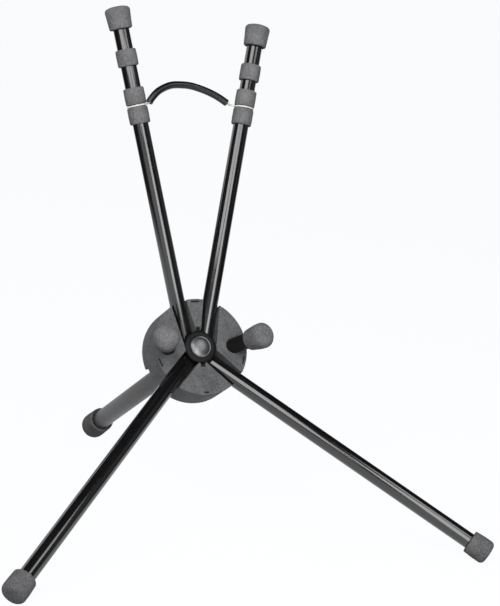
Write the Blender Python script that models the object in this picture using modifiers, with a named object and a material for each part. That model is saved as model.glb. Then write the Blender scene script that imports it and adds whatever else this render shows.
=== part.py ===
"""Folding floor stand for an alto saxophone.

A slotted hinge head carries two arms above, two legs below and one fixed leg behind.
Each arm and leg turns on a pin behind its tube, between the ears of a hub inside the head,
and folds back through its slot until it lies beside the rear leg. Two pegs on the head hold
the bell, and a sleeved cord spans the arms.

Metres, +Z up, X to the viewer's right, Y away from the viewer. The origin is on the floor,
in the middle of the footprint. Head pieces are drawn in the head's own frame: X across,
Y up its face and Z out of its face. Limb pieces are drawn in their limb's frame: X along the
hinge pin, Y to the front of the tube and Z along the tube.
"""
import math

import bmesh
import bpy
from mathutils import Matrix, Vector

# Stance: angles of the head and the limbs, and how far each limb reaches from the head's centre
HEAD_TILT = math.radians(28.75)
LIMB_RISE = math.radians(16.3)
ARM_AZIMUTH = math.radians(12.04)
LEG_AZIMUTH = math.radians(134.9)
ARM_OFFSET = 0.0080
ARM_REACH = 0.3410
ARM_CAP_LIFT = {"left": 0.0105, "right": 0.0}
LEG_REACH = 0.3560

# Gaps between pieces
GAP = 0.0003
SLOT_CLEARANCE = 0.0009

# Tubes
TUBE_RADIUS = 0.0080
TUBE_WALL = 0.0012
TUBE_START = 0.0103
REAR_TUBE_RADIUS = 0.0104
REAR_TUBE_WALL = 0.0015

# Hinges: a tongue under each tube turns on a pin between two ears of the hub
PIVOT_SETBACK = 0.0125
EYE_RADIUS = 0.0045
EYE_RELIEF = 0.0005
PIN_RADIUS = 0.0020
TONGUE_THICKNESS = 0.0070
EAR_THICKNESS = 0.0032
WASHER_THICKNESS = 0.0005
WASHER_RIM = 0.0020
PLUG_LENGTH = 0.0400
RIVET_RADIUS = 0.0015
RIVET_STATION = 0.0300

# Head shell
HEAD_RADIUS = 0.0500
HEAD_DEPTH = 0.0360
HEAD_WALL = 0.0025
HEAD_CHAMFER = 0.0012
COVER_THICKNESS = 0.0017
CORE_RADIUS = 0.0210
SNAP_LENGTH = 0.0100
SNAP_WIDTH = 0.0024
SNAP_DEPTH = 0.0060
SHELL_SCREW_RADIUS = 0.0015
SHELL_SCREW_LENGTH = 0.0130
SHELL_SCREW_INSET = 0.0085
SHELL_SCREW_AZIMUTHS = {"top": 0.0, "right": 62.0, "bottom": 180.0, "left": -62.0}
SNAP_AZIMUTHS = (-109.0, 109.0, 180.0)

# Hub inside the head, its cap and its bolt
POST_RADIUS = 0.0065
POST_BORE = 0.0052
POST_SEAT = 0.0040
FLANGE_RADIUS = 0.0090
FLANGE_THICKNESS = 0.0024
LUG_HALF_WIDTH = 0.0023
LUG_INNER = 0.0172
LUG_OUTER = 0.0208
LUG_TOP = 0.0140
CAP_RADIUS = 0.0165
CAP_THICKNESS = 0.0036
CAP_EDGE = 0.0009
BADGE_RADIUS = 0.0110
BADGE_RECESS = 0.0012
BADGE_DOME = 0.0016
BOLT_RADIUS = 0.0030
BOLT_HEAD_HEIGHT = 0.0040
SOCKET_RADIUS = 0.0027
SOCKET_DEPTH = 0.0024
NUT_RADIUS = 0.0055
NUT_HEIGHT = 0.0050

# Rear leg
COLLAR_WALL = 0.0026
COLLAR_LENGTH = 0.0220
REAR_PLUG_LENGTH = 0.0260
NUT_POCKET_DEPTH = 0.0120
REAR_SCREW_STATION = 0.0100

# Rubber feet and caps
FOOT_RADIUS = 0.0122
FOOT_LENGTH = 0.0230
FOOT_EDGE = 0.0030
FOOT_TAPER = 0.0006
RUBBER_FLOOR = 0.0030
SOLE_DEPTH = 0.0008
REAR_FOOT_RADIUS = 0.0145
REAR_FOOT_LENGTH = 0.0360
ARM_CAP_BELLY = 0.0130
ARM_CAP_MOUTH = 0.0115
ARM_CAP_LENGTH = 0.0230
ARM_CAP_DOME = 0.0050
ARM_CAP_FLAT = 0.0050

# Rubber rings on the arms: how far the upper and middle rings' middles lie from the arm's reach.
# The cord's loop sits below the middle ring and the lower ring below the loop.
RING_RADIUS = 0.0105
RING_LENGTH = 0.0169
RING_EDGE = 0.0010
RING_DROPS = {"left": (0.0414, 0.0800), "right": (0.0511, 0.0782)}
LOOP_RADIUS = 0.0103
LOOP_WIDTH = 0.0018

# Pegs for the bell
PEG_INSET = 0.0140
PEG_DIRECTION = (0.381, -0.011, 0.925)
PEG_LENGTH = 0.0500
PEG_RADIUS = 0.0080
PEG_CAP_BELLY = 0.0130
PEG_CAP_MOUTH = 0.0105
PEG_CAP_LENGTH = 0.0280
PEG_CAP_DOME = 0.0070
PEG_CAP_FLAT = 0.0050
PEG_BOSS_RADIUS = 0.0068
PEG_BOSS_DEPTH = 0.0090
PEG_SCREW_RADIUS = 0.0015
PEG_SCREW_HEAD = 0.0036
PEG_SCREW_SEAT = 0.0050
PEG_SCREW_LENGTH = 0.0180

# Cord between the arms: a soft sleeve over a string, routed in the plane of the two arms
SLEEVE_RADIUS = 0.00365
STRING_RADIUS = 0.0011
SLEEVE_ROUTE = ((-0.0456, 0.2409, 0.0719), (-0.0348, 0.2509, 0.0749), (-0.0226, 0.2568, 0.0766),
                (-0.0104, 0.2579, 0.0770), (0.0017, 0.2570, 0.0767), (0.0171, 0.2528, 0.0755),
                (0.0294, 0.2477, 0.0740), (0.0394, 0.2419, 0.0723))
STRING_ROUTES = {
    "left": ((-0.0475, 0.2385, 0.0712), (-0.0467, 0.2396, 0.0715), (-0.0459, 0.2406, 0.0718)),
    "right": ((0.0397, 0.2417, 0.0722), (0.0425, 0.2406, 0.0720), (0.0479, 0.2394, 0.0716)),
}

# Facets of round shapes
HEAD_SIDES = 48
ROUND_SIDES = 20
SMALL_SIDES = 8
ARC_POINTS = 3
EYE_POINTS = 6
SEAM_TURN = 11.0

# What follows from the sizes above
RISE_COS = math.cos(LIMB_RISE)
RISE_SIN = math.sin(LIMB_RISE)
PIVOT_DEPTH = TUBE_RADIUS + EYE_RADIUS + EYE_RELIEF
PIVOT_RADIUS = PIVOT_SETBACK * RISE_COS + PIVOT_DEPTH * RISE_SIN
PIVOT_HEIGHT = PIVOT_SETBACK * RISE_SIN - PIVOT_DEPTH * RISE_COS
FOLD_RADIUS = PIVOT_RADIUS + PIVOT_DEPTH
SLOT_HALF_WIDTH = TUBE_RADIUS + SLOT_CLEARANCE
FACE = HEAD_DEPTH / 2
BACK = -HEAD_DEPTH / 2
BODY_BACK = BACK + COVER_THICKNESS + GAP
SHELL_SCREW_CIRCLE = HEAD_RADIUS - SHELL_SCREW_INSET
PEG_SPREAD = HEAD_RADIUS - PEG_INSET
FLOOR_TOP = PIVOT_HEIGHT - EYE_RADIUS - GAP
HUB_BOTTOM = FLOOR_TOP + GAP
CAP_UNDERSIDE = FACE - GAP / 2 - CAP_THICKNESS
TUBE_BORE = TUBE_RADIUS - TUBE_WALL
REAR_TUBE_BORE = REAR_TUBE_RADIUS - REAR_TUBE_WALL
PIN_HOLE = PIN_RADIUS + GAP
TONGUE_SIDE = TONGUE_THICKNESS / 2
NEAR_EAR = TONGUE_SIDE + GAP
FAR_EAR = TONGUE_SIDE + 2 * GAP + WASHER_THICKNESS
PAST = 0.0500

FINISHES = {
    "gloss_black": ((0.010, 0.010, 0.011), 0.18, 0.0),
    "black_plastic": ((0.016, 0.016, 0.017), 0.45, 0.0),
    "head_plastic": ((0.115, 0.118, 0.122), 0.62, 0.0),
    "grey_rubber": ((0.125, 0.125, 0.128), 0.80, 0.0),
    "grey_paint": ((0.150, 0.150, 0.155), 0.50, 0.0),
    "sleeve_rubber": ((0.012, 0.012, 0.012), 0.35, 0.0),
    "zinc_steel": ((0.560, 0.560, 0.570), 0.35, 1.0),
    "white_string": ((0.780, 0.770, 0.730), 0.90, 0.0),
    "brake_fibre": ((0.180, 0.140, 0.090), 0.85, 0.0),
}


def start_scene():
    """Clear the scene and make the collections for the pieces and for the cutters."""
    for obj in list(bpy.data.objects):
        bpy.data.objects.remove(obj, do_unlink=True)
    for name in ("alto_saxophone_stand", "cutters"):
        bpy.context.scene.collection.children.link(bpy.data.collections.new(name))


def settle(obj, parent, finish, frame):
    """Put an object under its parent, in its collection; one without a finish is a cutter."""
    for collection in list(obj.users_collection):
        collection.objects.unlink(obj)
    home = "alto_saxophone_stand" if finish else "cutters"
    bpy.data.collections[home].objects.link(obj)
    obj.parent = parent
    obj.matrix_basis = frame
    if not finish:
        obj.hide_render = True
        obj.display_type = "WIRE"
        return obj
    colour, roughness, metallic = FINISHES[finish]
    made = bpy.data.materials.new(f"{obj.name}_{finish}")
    made.use_nodes = True
    shader = made.node_tree.nodes["Principled BSDF"]
    shader.inputs["Base Color"].default_value = (*colour, 1.0)
    shader.inputs["Roughness"].default_value = roughness
    shader.inputs["Metallic"].default_value = metallic
    obj.data.materials.append(made)
    return obj


def named_primitive(name, shape):
    """Name the primitive that was just added and work its placing into its mesh."""
    obj = bpy.context.active_object
    obj.name = name
    obj.data.name = name
    obj.data.transform(shape)
    return obj


def drum(name, radius, low, high, parent, finish=None, frame=Matrix(), sides=ROUND_SIDES):
    """A solid cylinder about Z, from one height to another."""
    bpy.ops.mesh.primitive_cylinder_add(vertices=sides, radius=radius, depth=high - low)
    obj = named_primitive(name, Matrix.Translation((0, 0, (low + high) / 2)))
    return settle(obj, parent, finish, frame)


def block(name, low, high, parent, finish=None, frame=Matrix()):
    """A box between two corners."""
    bpy.ops.mesh.primitive_cube_add(size=1.0)
    low, high = Vector(low), Vector(high)
    size = Matrix.Diagonal((*(high - low), 1.0))
    obj = named_primitive(name, Matrix.Translation((low + high) / 2) @ size)
    return settle(obj, parent, finish, frame)


def turned(name, profile, parent, finish=None, frame=Matrix(), closed=False, sides=ROUND_SIDES):
    """Spin (radius, height) points about Z. The profile runs down its outer side."""
    count = len(profile)
    edges = [(k, k + 1) for k in range(count - 1)]
    if closed:
        edges.append((count - 1, 0))
    mesh = bpy.data.meshes.new(name)
    mesh.from_pydata([(radius, 0.0, height) for radius, height in profile], edges, [])
    obj = bpy.data.objects.new(name, mesh)
    screw = obj.modifiers.new("Turn", "SCREW")
    screw.steps = sides
    screw.render_steps = sides
    screw.use_merge_vertices = True
    screw.merge_threshold = 0.00001
    return settle(obj, parent, finish, frame)


def extruded(name, outline, low, high, parent, finish=None, frame=Matrix()):
    """A flat outline in X and Y, thickened along Z from one height to another."""
    curve = bpy.data.curves.new(name, "CURVE")
    curve.dimensions = "2D"
    curve.fill_mode = "BOTH"
    curve.extrude = (high - low) / 2
    spline = curve.splines.new("POLY")
    spline.points.add(len(outline) - 1)
    for point, (x, y) in zip(spline.points, outline):
        point.co = (x, y, 0.0, 1.0)
    spline.use_cyclic_u = True
    guide = bpy.data.objects.new(name + "_outline", curve)
    bpy.context.scene.collection.objects.link(guide)
    graph = bpy.context.evaluated_depsgraph_get()
    mesh = bpy.data.meshes.new_from_object(guide.evaluated_get(graph))
    bpy.data.objects.remove(guide, do_unlink=True)
    mesh.transform(Matrix.Translation((0, 0, (low + high) / 2)))
    shape = bmesh.new()
    shape.from_mesh(mesh)
    bmesh.ops.remove_doubles(shape, verts=shape.verts, dist=0.000005)
    bmesh.ops.recalc_face_normals(shape, faces=shape.faces)
    shape.to_mesh(mesh)
    shape.free()
    mesh.name = name
    return settle(bpy.data.objects.new(name, mesh), parent, finish, frame)


def wire(name, points, radius, parent, finish, resolution):
    """A round cord along points, with closed ends."""
    curve = bpy.data.curves.new(name, "CURVE")
    curve.dimensions = "3D"
    curve.bevel_depth = radius
    curve.bevel_resolution = resolution
    curve.use_fill_caps = True
    spline = curve.splines.new("POLY")
    spline.points.add(len(points) - 1)
    for point, place in zip(spline.points, points):
        point.co = (*place, 1.0)
    return settle(bpy.data.objects.new(name, curve), parent, finish, Matrix())


def shape_with(target, tool, operation="DIFFERENCE"):
    """Cut a tool from a piece, or join it on."""
    step = target.modifiers.new(tool.name, "BOOLEAN")
    step.operation = operation
    step.solver = "EXACT"
    step.object = tool


def arc(centre_x, centre_y, radius, start, end, count=ARC_POINTS):
    """Points on a circle from one angle to another, in degrees."""
    angles = [math.radians(start + (end - start) * k / (count - 1)) for k in range(count)]
    return [(centre_x + radius * math.cos(a), centre_y + radius * math.sin(a)) for a in angles]


def azimuth_frame(azimuth, offset=0.0):
    """A frame on the head's axis, with Y pointing out at an angle from the head's top."""
    return Matrix.Translation((offset, 0, 0)) @ Matrix.Rotation(-azimuth, 4, "Z")


def polar(radius, degrees):
    """A place on the head's face, by its distance from the centre and its azimuth."""
    azimuth = math.radians(degrees)
    turn = Matrix.Rotation(math.radians(SEAM_TURN) - azimuth, 4, "Z")
    return Matrix.Translation((radius * math.sin(azimuth), radius * math.cos(azimuth), 0)) @ turn


def smooth_route(points, spacing):
    """Points along a smooth curve through the given ones, a set distance apart."""
    places = [Vector(p) for p in points]
    ends = [2 * places[0] - places[1]] + places + [2 * places[-1] - places[-2]]
    route = [places[0]]
    for k in range(1, len(ends) - 2):
        before, start, stop, after = ends[k - 1:k + 3]
        steps = max(1, round((stop - start).length / spacing))
        for j in range(1, steps + 1):
            t = j / steps
            bend = 2 * before - 5 * start + 4 * stop - after
            twist = -before + 3 * start - 3 * stop + after
            route.append((2 * start + (stop - before) * t + bend * t * t + twist * t ** 3) / 2)
    return route


def rubber_profile(tip, length, mouth, belly, flat, dome, socket):
    """A rubber cap over a tube's end: rounded tip up, swelling belly, socket below."""
    profile = [(0.0, tip)]
    for step in range(ARC_POINTS + 1):
        angle = math.radians(90 - 90 * step / ARC_POINTS)
        reach = flat + (belly - flat) * math.cos(angle)
        profile.append((reach, tip - dome + dome * math.sin(angle)))
    profile.append(((belly + mouth) / 2, tip - (dome + length) / 2))
    profile.append((mouth, tip - length + RING_EDGE))
    profile.append((mouth - RING_EDGE, tip - length))
    profile.append((socket, tip - length))
    profile.append((socket, tip - RUBBER_FLOOR))
    profile.append((0.0, tip - RUBBER_FLOOR))
    return profile


def ring_profile(middle, length, inner, outer, edge):
    """A ring round a tube, with its outer edges eased."""
    low, high = middle - length / 2, middle + length / 2
    return [(inner, high), (outer - edge, high), (outer, high - edge), (outer, low + edge),
            (outer - edge, low), (inner, low)]


def drop_to_floor(direction, reach, radius):
    """How far below the head's centre a rounded foot at the end of a limb reaches."""
    fall = -direction.z
    side = math.sqrt(1.0 - fall * fall)
    return (reach - FOOT_EDGE) * fall + (radius - FOOT_EDGE) * side + FOOT_EDGE


def run_along(direction, reach, radius):
    """How far a rounded foot at the end of a limb reaches along Y, as an absolute distance."""
    run = abs(direction.y)
    return (reach - FOOT_EDGE) * run + (radius - FOOT_EDGE) * math.sqrt(1.0 - run * run) + FOOT_EDGE


def head_rotation():
    """Turns the head's own frame to the world: its face looks forward and up."""
    return Matrix.Rotation(math.pi / 2 - HEAD_TILT, 4, "X")


def limb_direction(azimuth):
    """A limb's direction in the world."""
    turn = head_rotation() @ azimuth_frame(azimuth)
    return (turn.to_3x3() @ Vector((0, RISE_COS, RISE_SIN))).normalized()


LEG_DIRECTION = limb_direction(LEG_AZIMUTH)
REAR_DIRECTION = (head_rotation().to_3x3() @ Vector((0, 0, -1))).normalized()
HEAD_HEIGHT = drop_to_floor(LEG_DIRECTION, LEG_REACH, FOOT_RADIUS) - SOLE_DEPTH
REAR_SIDE = math.sqrt(1.0 - REAR_DIRECTION.z ** 2)
REAR_REACH = FOOT_EDGE + (HEAD_HEIGHT + SOLE_DEPTH - FOOT_EDGE
                          - (REAR_FOOT_RADIUS - FOOT_EDGE) * REAR_SIDE) / -REAR_DIRECTION.z
FRONT_RUN = run_along(LEG_DIRECTION, LEG_REACH, FOOT_RADIUS)
BACK_RUN = run_along(REAR_DIRECTION, REAR_REACH, REAR_FOOT_RADIUS)
HEAD_PLACE = Vector((0.0, (FRONT_RUN - BACK_RUN) / 2, HEAD_HEIGHT))

LIMBS = {
    "arm_left": (-ARM_AZIMUTH, -ARM_OFFSET, ARM_REACH, -1),
    "arm_right": (ARM_AZIMUTH, ARM_OFFSET, ARM_REACH, 1),
    "leg_left": (-LEG_AZIMUTH, 0.0, LEG_REACH, -1),
    "leg_right": (LEG_AZIMUTH, 0.0, LEG_REACH, 1),
}


def empty(name, parent, frame):
    """An empty that carries a body's pieces; a limb's stands on its hinge axis."""
    obj = bpy.data.objects.new(name, None)
    obj.empty_display_size = 0.02
    bpy.data.collections["alto_saxophone_stand"].objects.link(obj)
    obj.parent = parent
    obj.matrix_basis = frame
    return obj


def limb_frame(azimuth, offset):
    """A limb's frame inside the head's, with its origin on the hinge pin."""
    lean = Matrix(((-1, 0, 0, 0), (0, -RISE_SIN, RISE_COS, 0), (0, RISE_COS, RISE_SIN, 0), (0, 0, 0, 1)))
    pivot = Matrix.Translation((0, PIVOT_RADIUS, PIVOT_HEIGHT))
    return azimuth_frame(azimuth, offset) @ pivot @ lean


def rest_slot(name, limb, parent, half_width, low):
    """A cutter for the slot that a limb lies in, from the head's centre past its rim."""
    azimuth, offset, _reach, _side = LIMBS[limb]
    return block(f"{name}_{limb}", (-half_width, 0, low), (half_width, HEAD_RADIUS + PAST, PAST), parent,
                 frame=azimuth_frame(azimuth, offset))


def fold_slot(name, limb, parent):
    """A cutter for the round-ended slot in the back that a limb swings through."""
    azimuth, offset, _reach, _side = LIMBS[limb]
    outline = arc(0, FOLD_RADIUS, SLOT_HALF_WIDTH, 180, 360, EYE_POINTS + 3)
    outline += [(SLOT_HALF_WIDTH, HEAD_RADIUS + PAST), (-SLOT_HALF_WIDTH, HEAD_RADIUS + PAST)]
    return extruded(f"{name}_{limb}", outline, BACK - PAST, PAST, parent,
                    frame=azimuth_frame(azimuth, offset))


def peg_frame(side):
    """A peg's frame: its origin on the head's face, Z along the peg."""
    direction = Vector((side * PEG_DIRECTION[0], PEG_DIRECTION[1], PEG_DIRECTION[2])).normalized()
    turn = direction.to_track_quat("Z", "Y").to_matrix().to_4x4()
    return Matrix.Translation((side * PEG_SPREAD, 0, FACE)) @ turn


def build_head_body(head):
    """The head's front shell: four walled sectors, hollow from behind, on one centre floor."""
    bore = BOLT_RADIUS + GAP
    profile = [(bore, FACE), (HEAD_RADIUS - HEAD_CHAMFER, FACE), (HEAD_RADIUS, FACE - HEAD_CHAMFER),
               (HEAD_RADIUS, BODY_BACK), (bore, BODY_BACK)]
    shell = turned("head_body", profile, head, "head_plastic", closed=True, sides=HEAD_SIDES)
    pocket_top = FACE - HEAD_WALL
    pockets = drum("pockets", HEAD_RADIUS - HEAD_WALL, BODY_BACK - PAST, pocket_top, head,
                   sides=HEAD_SIDES)
    for limb in LIMBS:
        wall = rest_slot("pocket_wall", limb, head, SLOT_HALF_WIDTH + HEAD_WALL, BODY_BACK - 2 * PAST)
        shape_with(pockets, wall)
    shape_with(pockets, drum("pocket_core", CORE_RADIUS, BODY_BACK - 2 * PAST, PAST, head))
    shape_with(shell, pockets)
    for side, word in ((-1, "left"), (1, "right")):
        boss = drum(f"peg_boss_{word}", PEG_BOSS_RADIUS, -PEG_BOSS_DEPTH, PEG_BOSS_RADIUS, head,
                    frame=peg_frame(side))
        shape_with(boss, block(f"boss_top_{word}", (-PAST - PEG_SPREAD, -PAST, FACE - HEAD_WALL / 2),
                               (PAST + PEG_SPREAD, PAST, FACE + PAST), head))
        shape_with(shell, boss, "UNION")
        seat = drum(f"peg_seat_{word}", PEG_SCREW_HEAD + 2 * GAP, -PEG_BOSS_DEPTH - HEAD_WALL,
                    -PEG_SCREW_SEAT, head, frame=peg_frame(side), sides=SMALL_SIDES)
        shape_with(shell, seat)
        hole = drum(f"peg_hole_{word}", PEG_SCREW_RADIUS + GAP, -PEG_BOSS_DEPTH, HEAD_WALL, head,
                    frame=peg_frame(side), sides=SMALL_SIDES)
        shape_with(shell, hole)
    post_radius = SHELL_SCREW_RADIUS + HEAD_WALL
    for word, degrees in SHELL_SCREW_AZIMUTHS.items():
        place = polar(SHELL_SCREW_CIRCLE, degrees)
        post = drum(f"screw_post_{word}", post_radius, BODY_BACK, FACE - HEAD_WALL / 2, head,
                    frame=place, sides=SMALL_SIDES)
        shape_with(shell, post, "UNION")
        pilot = drum(f"screw_pilot_{word}", SHELL_SCREW_RADIUS + GAP, BODY_BACK - HEAD_WALL,
                     BODY_BACK + SHELL_SCREW_LENGTH, head, frame=place, sides=SMALL_SIDES)
        shape_with(shell, pilot)
    shape_with(shell, drum("cap_well", CAP_RADIUS + 2 * GAP, FLOOR_TOP, PAST, head, sides=HEAD_SIDES // 2))
    for word, turn in (("top", 0.0), ("bottom", math.pi)):
        reach = LUG_HALF_WIDTH + GAP
        notch = block(f"lug_notch_{word}", (-reach, 0, FLOOR_TOP), (reach, LUG_OUTER + GAP, PAST), head,
                      frame=azimuth_frame(turn))
        shape_with(shell, notch)
    for limb in LIMBS:
        slot = rest_slot("limb_slot", limb, head, SLOT_HALF_WIDTH, FLOOR_TOP)
        shape_with(slot, fold_slot("fold_slot", limb, head), "UNION")
        shape_with(shell, slot)
    middle = HEAD_RADIUS - HEAD_WALL - SNAP_WIDTH / 2 - GAP
    for degrees in SNAP_AZIMUTHS:
        snap = block(f"snap_{degrees:.0f}", (-SNAP_LENGTH / 2, middle - SNAP_WIDTH / 2, FACE - SNAP_DEPTH),
                     (SNAP_LENGTH / 2, middle + SNAP_WIDTH / 2, PAST), head,
                     frame=azimuth_frame(math.radians(degrees)))
        shape_with(shell, snap)
    return shell


def build_back_cover(head):
    """The cover that closes the sectors from behind and holds the rear leg in its collar."""
    bore = REAR_TUBE_RADIUS + GAP
    collar = bore + COLLAR_WALL
    profile = [(BOLT_RADIUS + GAP, BACK + COVER_THICKNESS), (HEAD_RADIUS, BACK + COVER_THICKNESS),
               (HEAD_RADIUS, BACK + GAP), (HEAD_RADIUS - GAP, BACK),
               (collar, BACK), (collar, BACK - COLLAR_LENGTH + RING_EDGE),
               (collar - RING_EDGE, BACK - COLLAR_LENGTH), (bore, BACK - COLLAR_LENGTH),
               (bore, BACK), (BOLT_RADIUS + GAP, BACK)]
    cover = turned("back_cover", profile, head, "head_plastic", closed=True, sides=HEAD_SIDES)
    for limb in LIMBS:
        shape_with(cover, fold_slot("cover_slot", limb, head))
    for word, degrees in SHELL_SCREW_AZIMUTHS.items():
        hole = drum(f"cover_hole_{word}", SHELL_SCREW_RADIUS + GAP, BACK - HEAD_WALL, 0, head,
                    frame=polar(SHELL_SCREW_CIRCLE, degrees), sides=SMALL_SIDES)
        shape_with(cover, hole)
    screw = drum("collar_hole", SHELL_SCREW_RADIUS + GAP, 0, collar + HEAD_WALL, head,
                 frame=rear_screw_frame(), sides=SMALL_SIDES)
    shape_with(cover, screw)
    return cover


def rear_screw_frame():
    """The frame of the screw that holds the rear leg, from the head's axis out below the collar."""
    return Matrix.Translation((0, 0, BACK - REAR_SCREW_STATION)) @ Matrix.Rotation(math.pi / 2, 4, "X")


def build_screws(head):
    """Screws that hold the cover, the rear leg and the pegs."""
    head_height = SHELL_SCREW_RADIUS
    for word, degrees in SHELL_SCREW_AZIMUTHS.items():
        seat = BACK - GAP
        profile = [(0, seat + SHELL_SCREW_LENGTH), (SHELL_SCREW_RADIUS, seat + SHELL_SCREW_LENGTH),
                   (SHELL_SCREW_RADIUS, seat), (2 * SHELL_SCREW_RADIUS, seat),
                   (2 * SHELL_SCREW_RADIUS, seat - head_height / 2),
                   (SHELL_SCREW_RADIUS, seat - head_height), (0, seat - head_height)]
        turned(f"shell_screw_{word}", profile, head, "zinc_steel",
               frame=polar(SHELL_SCREW_CIRCLE, degrees), sides=SMALL_SIDES)
    seat = REAR_TUBE_RADIUS + COLLAR_WALL + 2 * GAP
    tip = BOLT_RADIUS + 4 * GAP
    profile = [(0, seat + head_height), (SHELL_SCREW_RADIUS, seat + head_height),
               (2 * SHELL_SCREW_RADIUS, seat + head_height / 2), (2 * SHELL_SCREW_RADIUS, seat),
               (SHELL_SCREW_RADIUS, seat), (SHELL_SCREW_RADIUS, tip), (0, tip)]
    turned("rear_leg_screw", profile, head, "zinc_steel", frame=rear_screw_frame(), sides=SMALL_SIDES)
    for side, word in ((-1, "left"), (1, "right")):
        seat = -PEG_SCREW_SEAT - GAP
        profile = [(0, seat + PEG_SCREW_LENGTH), (PEG_SCREW_RADIUS, seat + PEG_SCREW_LENGTH),
                   (PEG_SCREW_RADIUS, seat), (PEG_SCREW_HEAD, seat),
                   (PEG_SCREW_HEAD, seat - PEG_SCREW_RADIUS), (0, seat - PEG_SCREW_RADIUS)]
        turned(f"peg_screw_{word}", profile, head, "zinc_steel", frame=peg_frame(side),
               sides=SMALL_SIDES)


def build_hub(head):
    """The hub: a bored post with four pairs of ears, a flange and two lugs beside the cap."""
    profile = [(POST_RADIUS, CAP_UNDERSIDE - GAP), (POST_RADIUS, HUB_BOTTOM),
               (BOLT_RADIUS + GAP, HUB_BOTTOM), (BOLT_RADIUS + GAP, POST_SEAT),
               (POST_BORE, POST_SEAT), (POST_BORE, CAP_UNDERSIDE - GAP)]
    hub = turned("hub", profile, head, "black_plastic", closed=True)
    bore = BOLT_RADIUS + GAP
    flange = [(FLANGE_RADIUS, HUB_BOTTOM + FLANGE_THICKNESS), (FLANGE_RADIUS, HUB_BOTTOM),
              (bore + GAP, HUB_BOTTOM), (bore + GAP, HUB_BOTTOM + FLANGE_THICKNESS)]
    shape_with(hub, turned("hub_flange", flange, head, closed=True), "UNION")
    for limb, (azimuth, offset, _reach, side) in LIMBS.items():
        ears = build_ears(head, limb, azimuth, offset, side)
        shape_with(hub, ears, "UNION")
    for word, turn in (("top", 0.0), ("bottom", math.pi)):
        frame = azimuth_frame(turn)
        rib = block(f"hub_rib_{word}", (-LUG_HALF_WIDTH, POST_RADIUS - FLANGE_THICKNESS / 2, HUB_BOTTOM),
                    (LUG_HALF_WIDTH, LUG_OUTER, HUB_BOTTOM + FLANGE_THICKNESS), head, frame=frame)
        shape_with(hub, rib, "UNION")
        lug = block(f"hub_lug_{word}", (-LUG_HALF_WIDTH, LUG_INNER, HUB_BOTTOM + FLANGE_THICKNESS / 2),
                    (LUG_HALF_WIDTH, LUG_OUTER, LUG_TOP), head, frame=frame)
        shape_with(hub, lug, "UNION")
    bore_cut = drum("hub_bore", bore, HUB_BOTTOM - HEAD_WALL, POST_SEAT + GAP, head)
    shape_with(hub, bore_cut)
    seat_cut = drum("hub_seat", POST_BORE, POST_SEAT, PAST, head)
    shape_with(hub, seat_cut)
    return hub


def build_ears(head, limb, azimuth, offset, side):
    """A pair of ears for one hinge, drawn in the limb's plane and slotted for the tongue."""
    top = HUB_BOTTOM + 2 * EYE_RADIUS
    stand_off = TUBE_START - 2 * GAP
    stop_low = (stand_off - top * RISE_SIN) / RISE_COS
    stop_top = BOLT_RADIUS
    stop_high = (stand_off - stop_top * RISE_SIN) / RISE_COS
    outline = [(0.0, HUB_BOTTOM)] + arc(PIVOT_RADIUS, PIVOT_HEIGHT, EYE_RADIUS, -90, 90, EYE_POINTS)
    outline += [(stop_low, top), (stop_high, stop_top), (0.0, stop_top)]
    frame = azimuth_frame(azimuth, offset) @ sideways_frame()
    low = -side * (FAR_EAR + EAR_THICKNESS)
    high = side * (NEAR_EAR + EAR_THICKNESS)
    ears = extruded(f"ears_{limb}", outline, min(low, high), max(low, high), head, frame=frame)
    slot_low = min(-side * FAR_EAR, side * NEAR_EAR)
    slot_high = max(-side * FAR_EAR, side * NEAR_EAR)
    root = PIVOT_RADIUS - EYE_RADIUS - EYE_RELIEF - GAP
    slot = block(f"ear_slot_{limb}", (root, HUB_BOTTOM - PAST, slot_low), (PAST, PAST, slot_high), head,
                 frame=frame)
    shape_with(ears, slot)
    hole = drum(f"ear_hole_{limb}", PIN_HOLE, -PAST, PAST, head,
                frame=frame @ Matrix.Translation((PIVOT_RADIUS, PIVOT_HEIGHT, 0)), sides=SMALL_SIDES)
    shape_with(ears, hole)
    return ears


def sideways_frame():
    """Turns a flat outline's X and Y to the Y and Z of the frame it is drawn in, its Z to the side."""
    return Matrix(((0, 0, 1, 0), (1, 0, 0, 0), (0, 1, 0, 0), (0, 0, 0, 1)))


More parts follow.
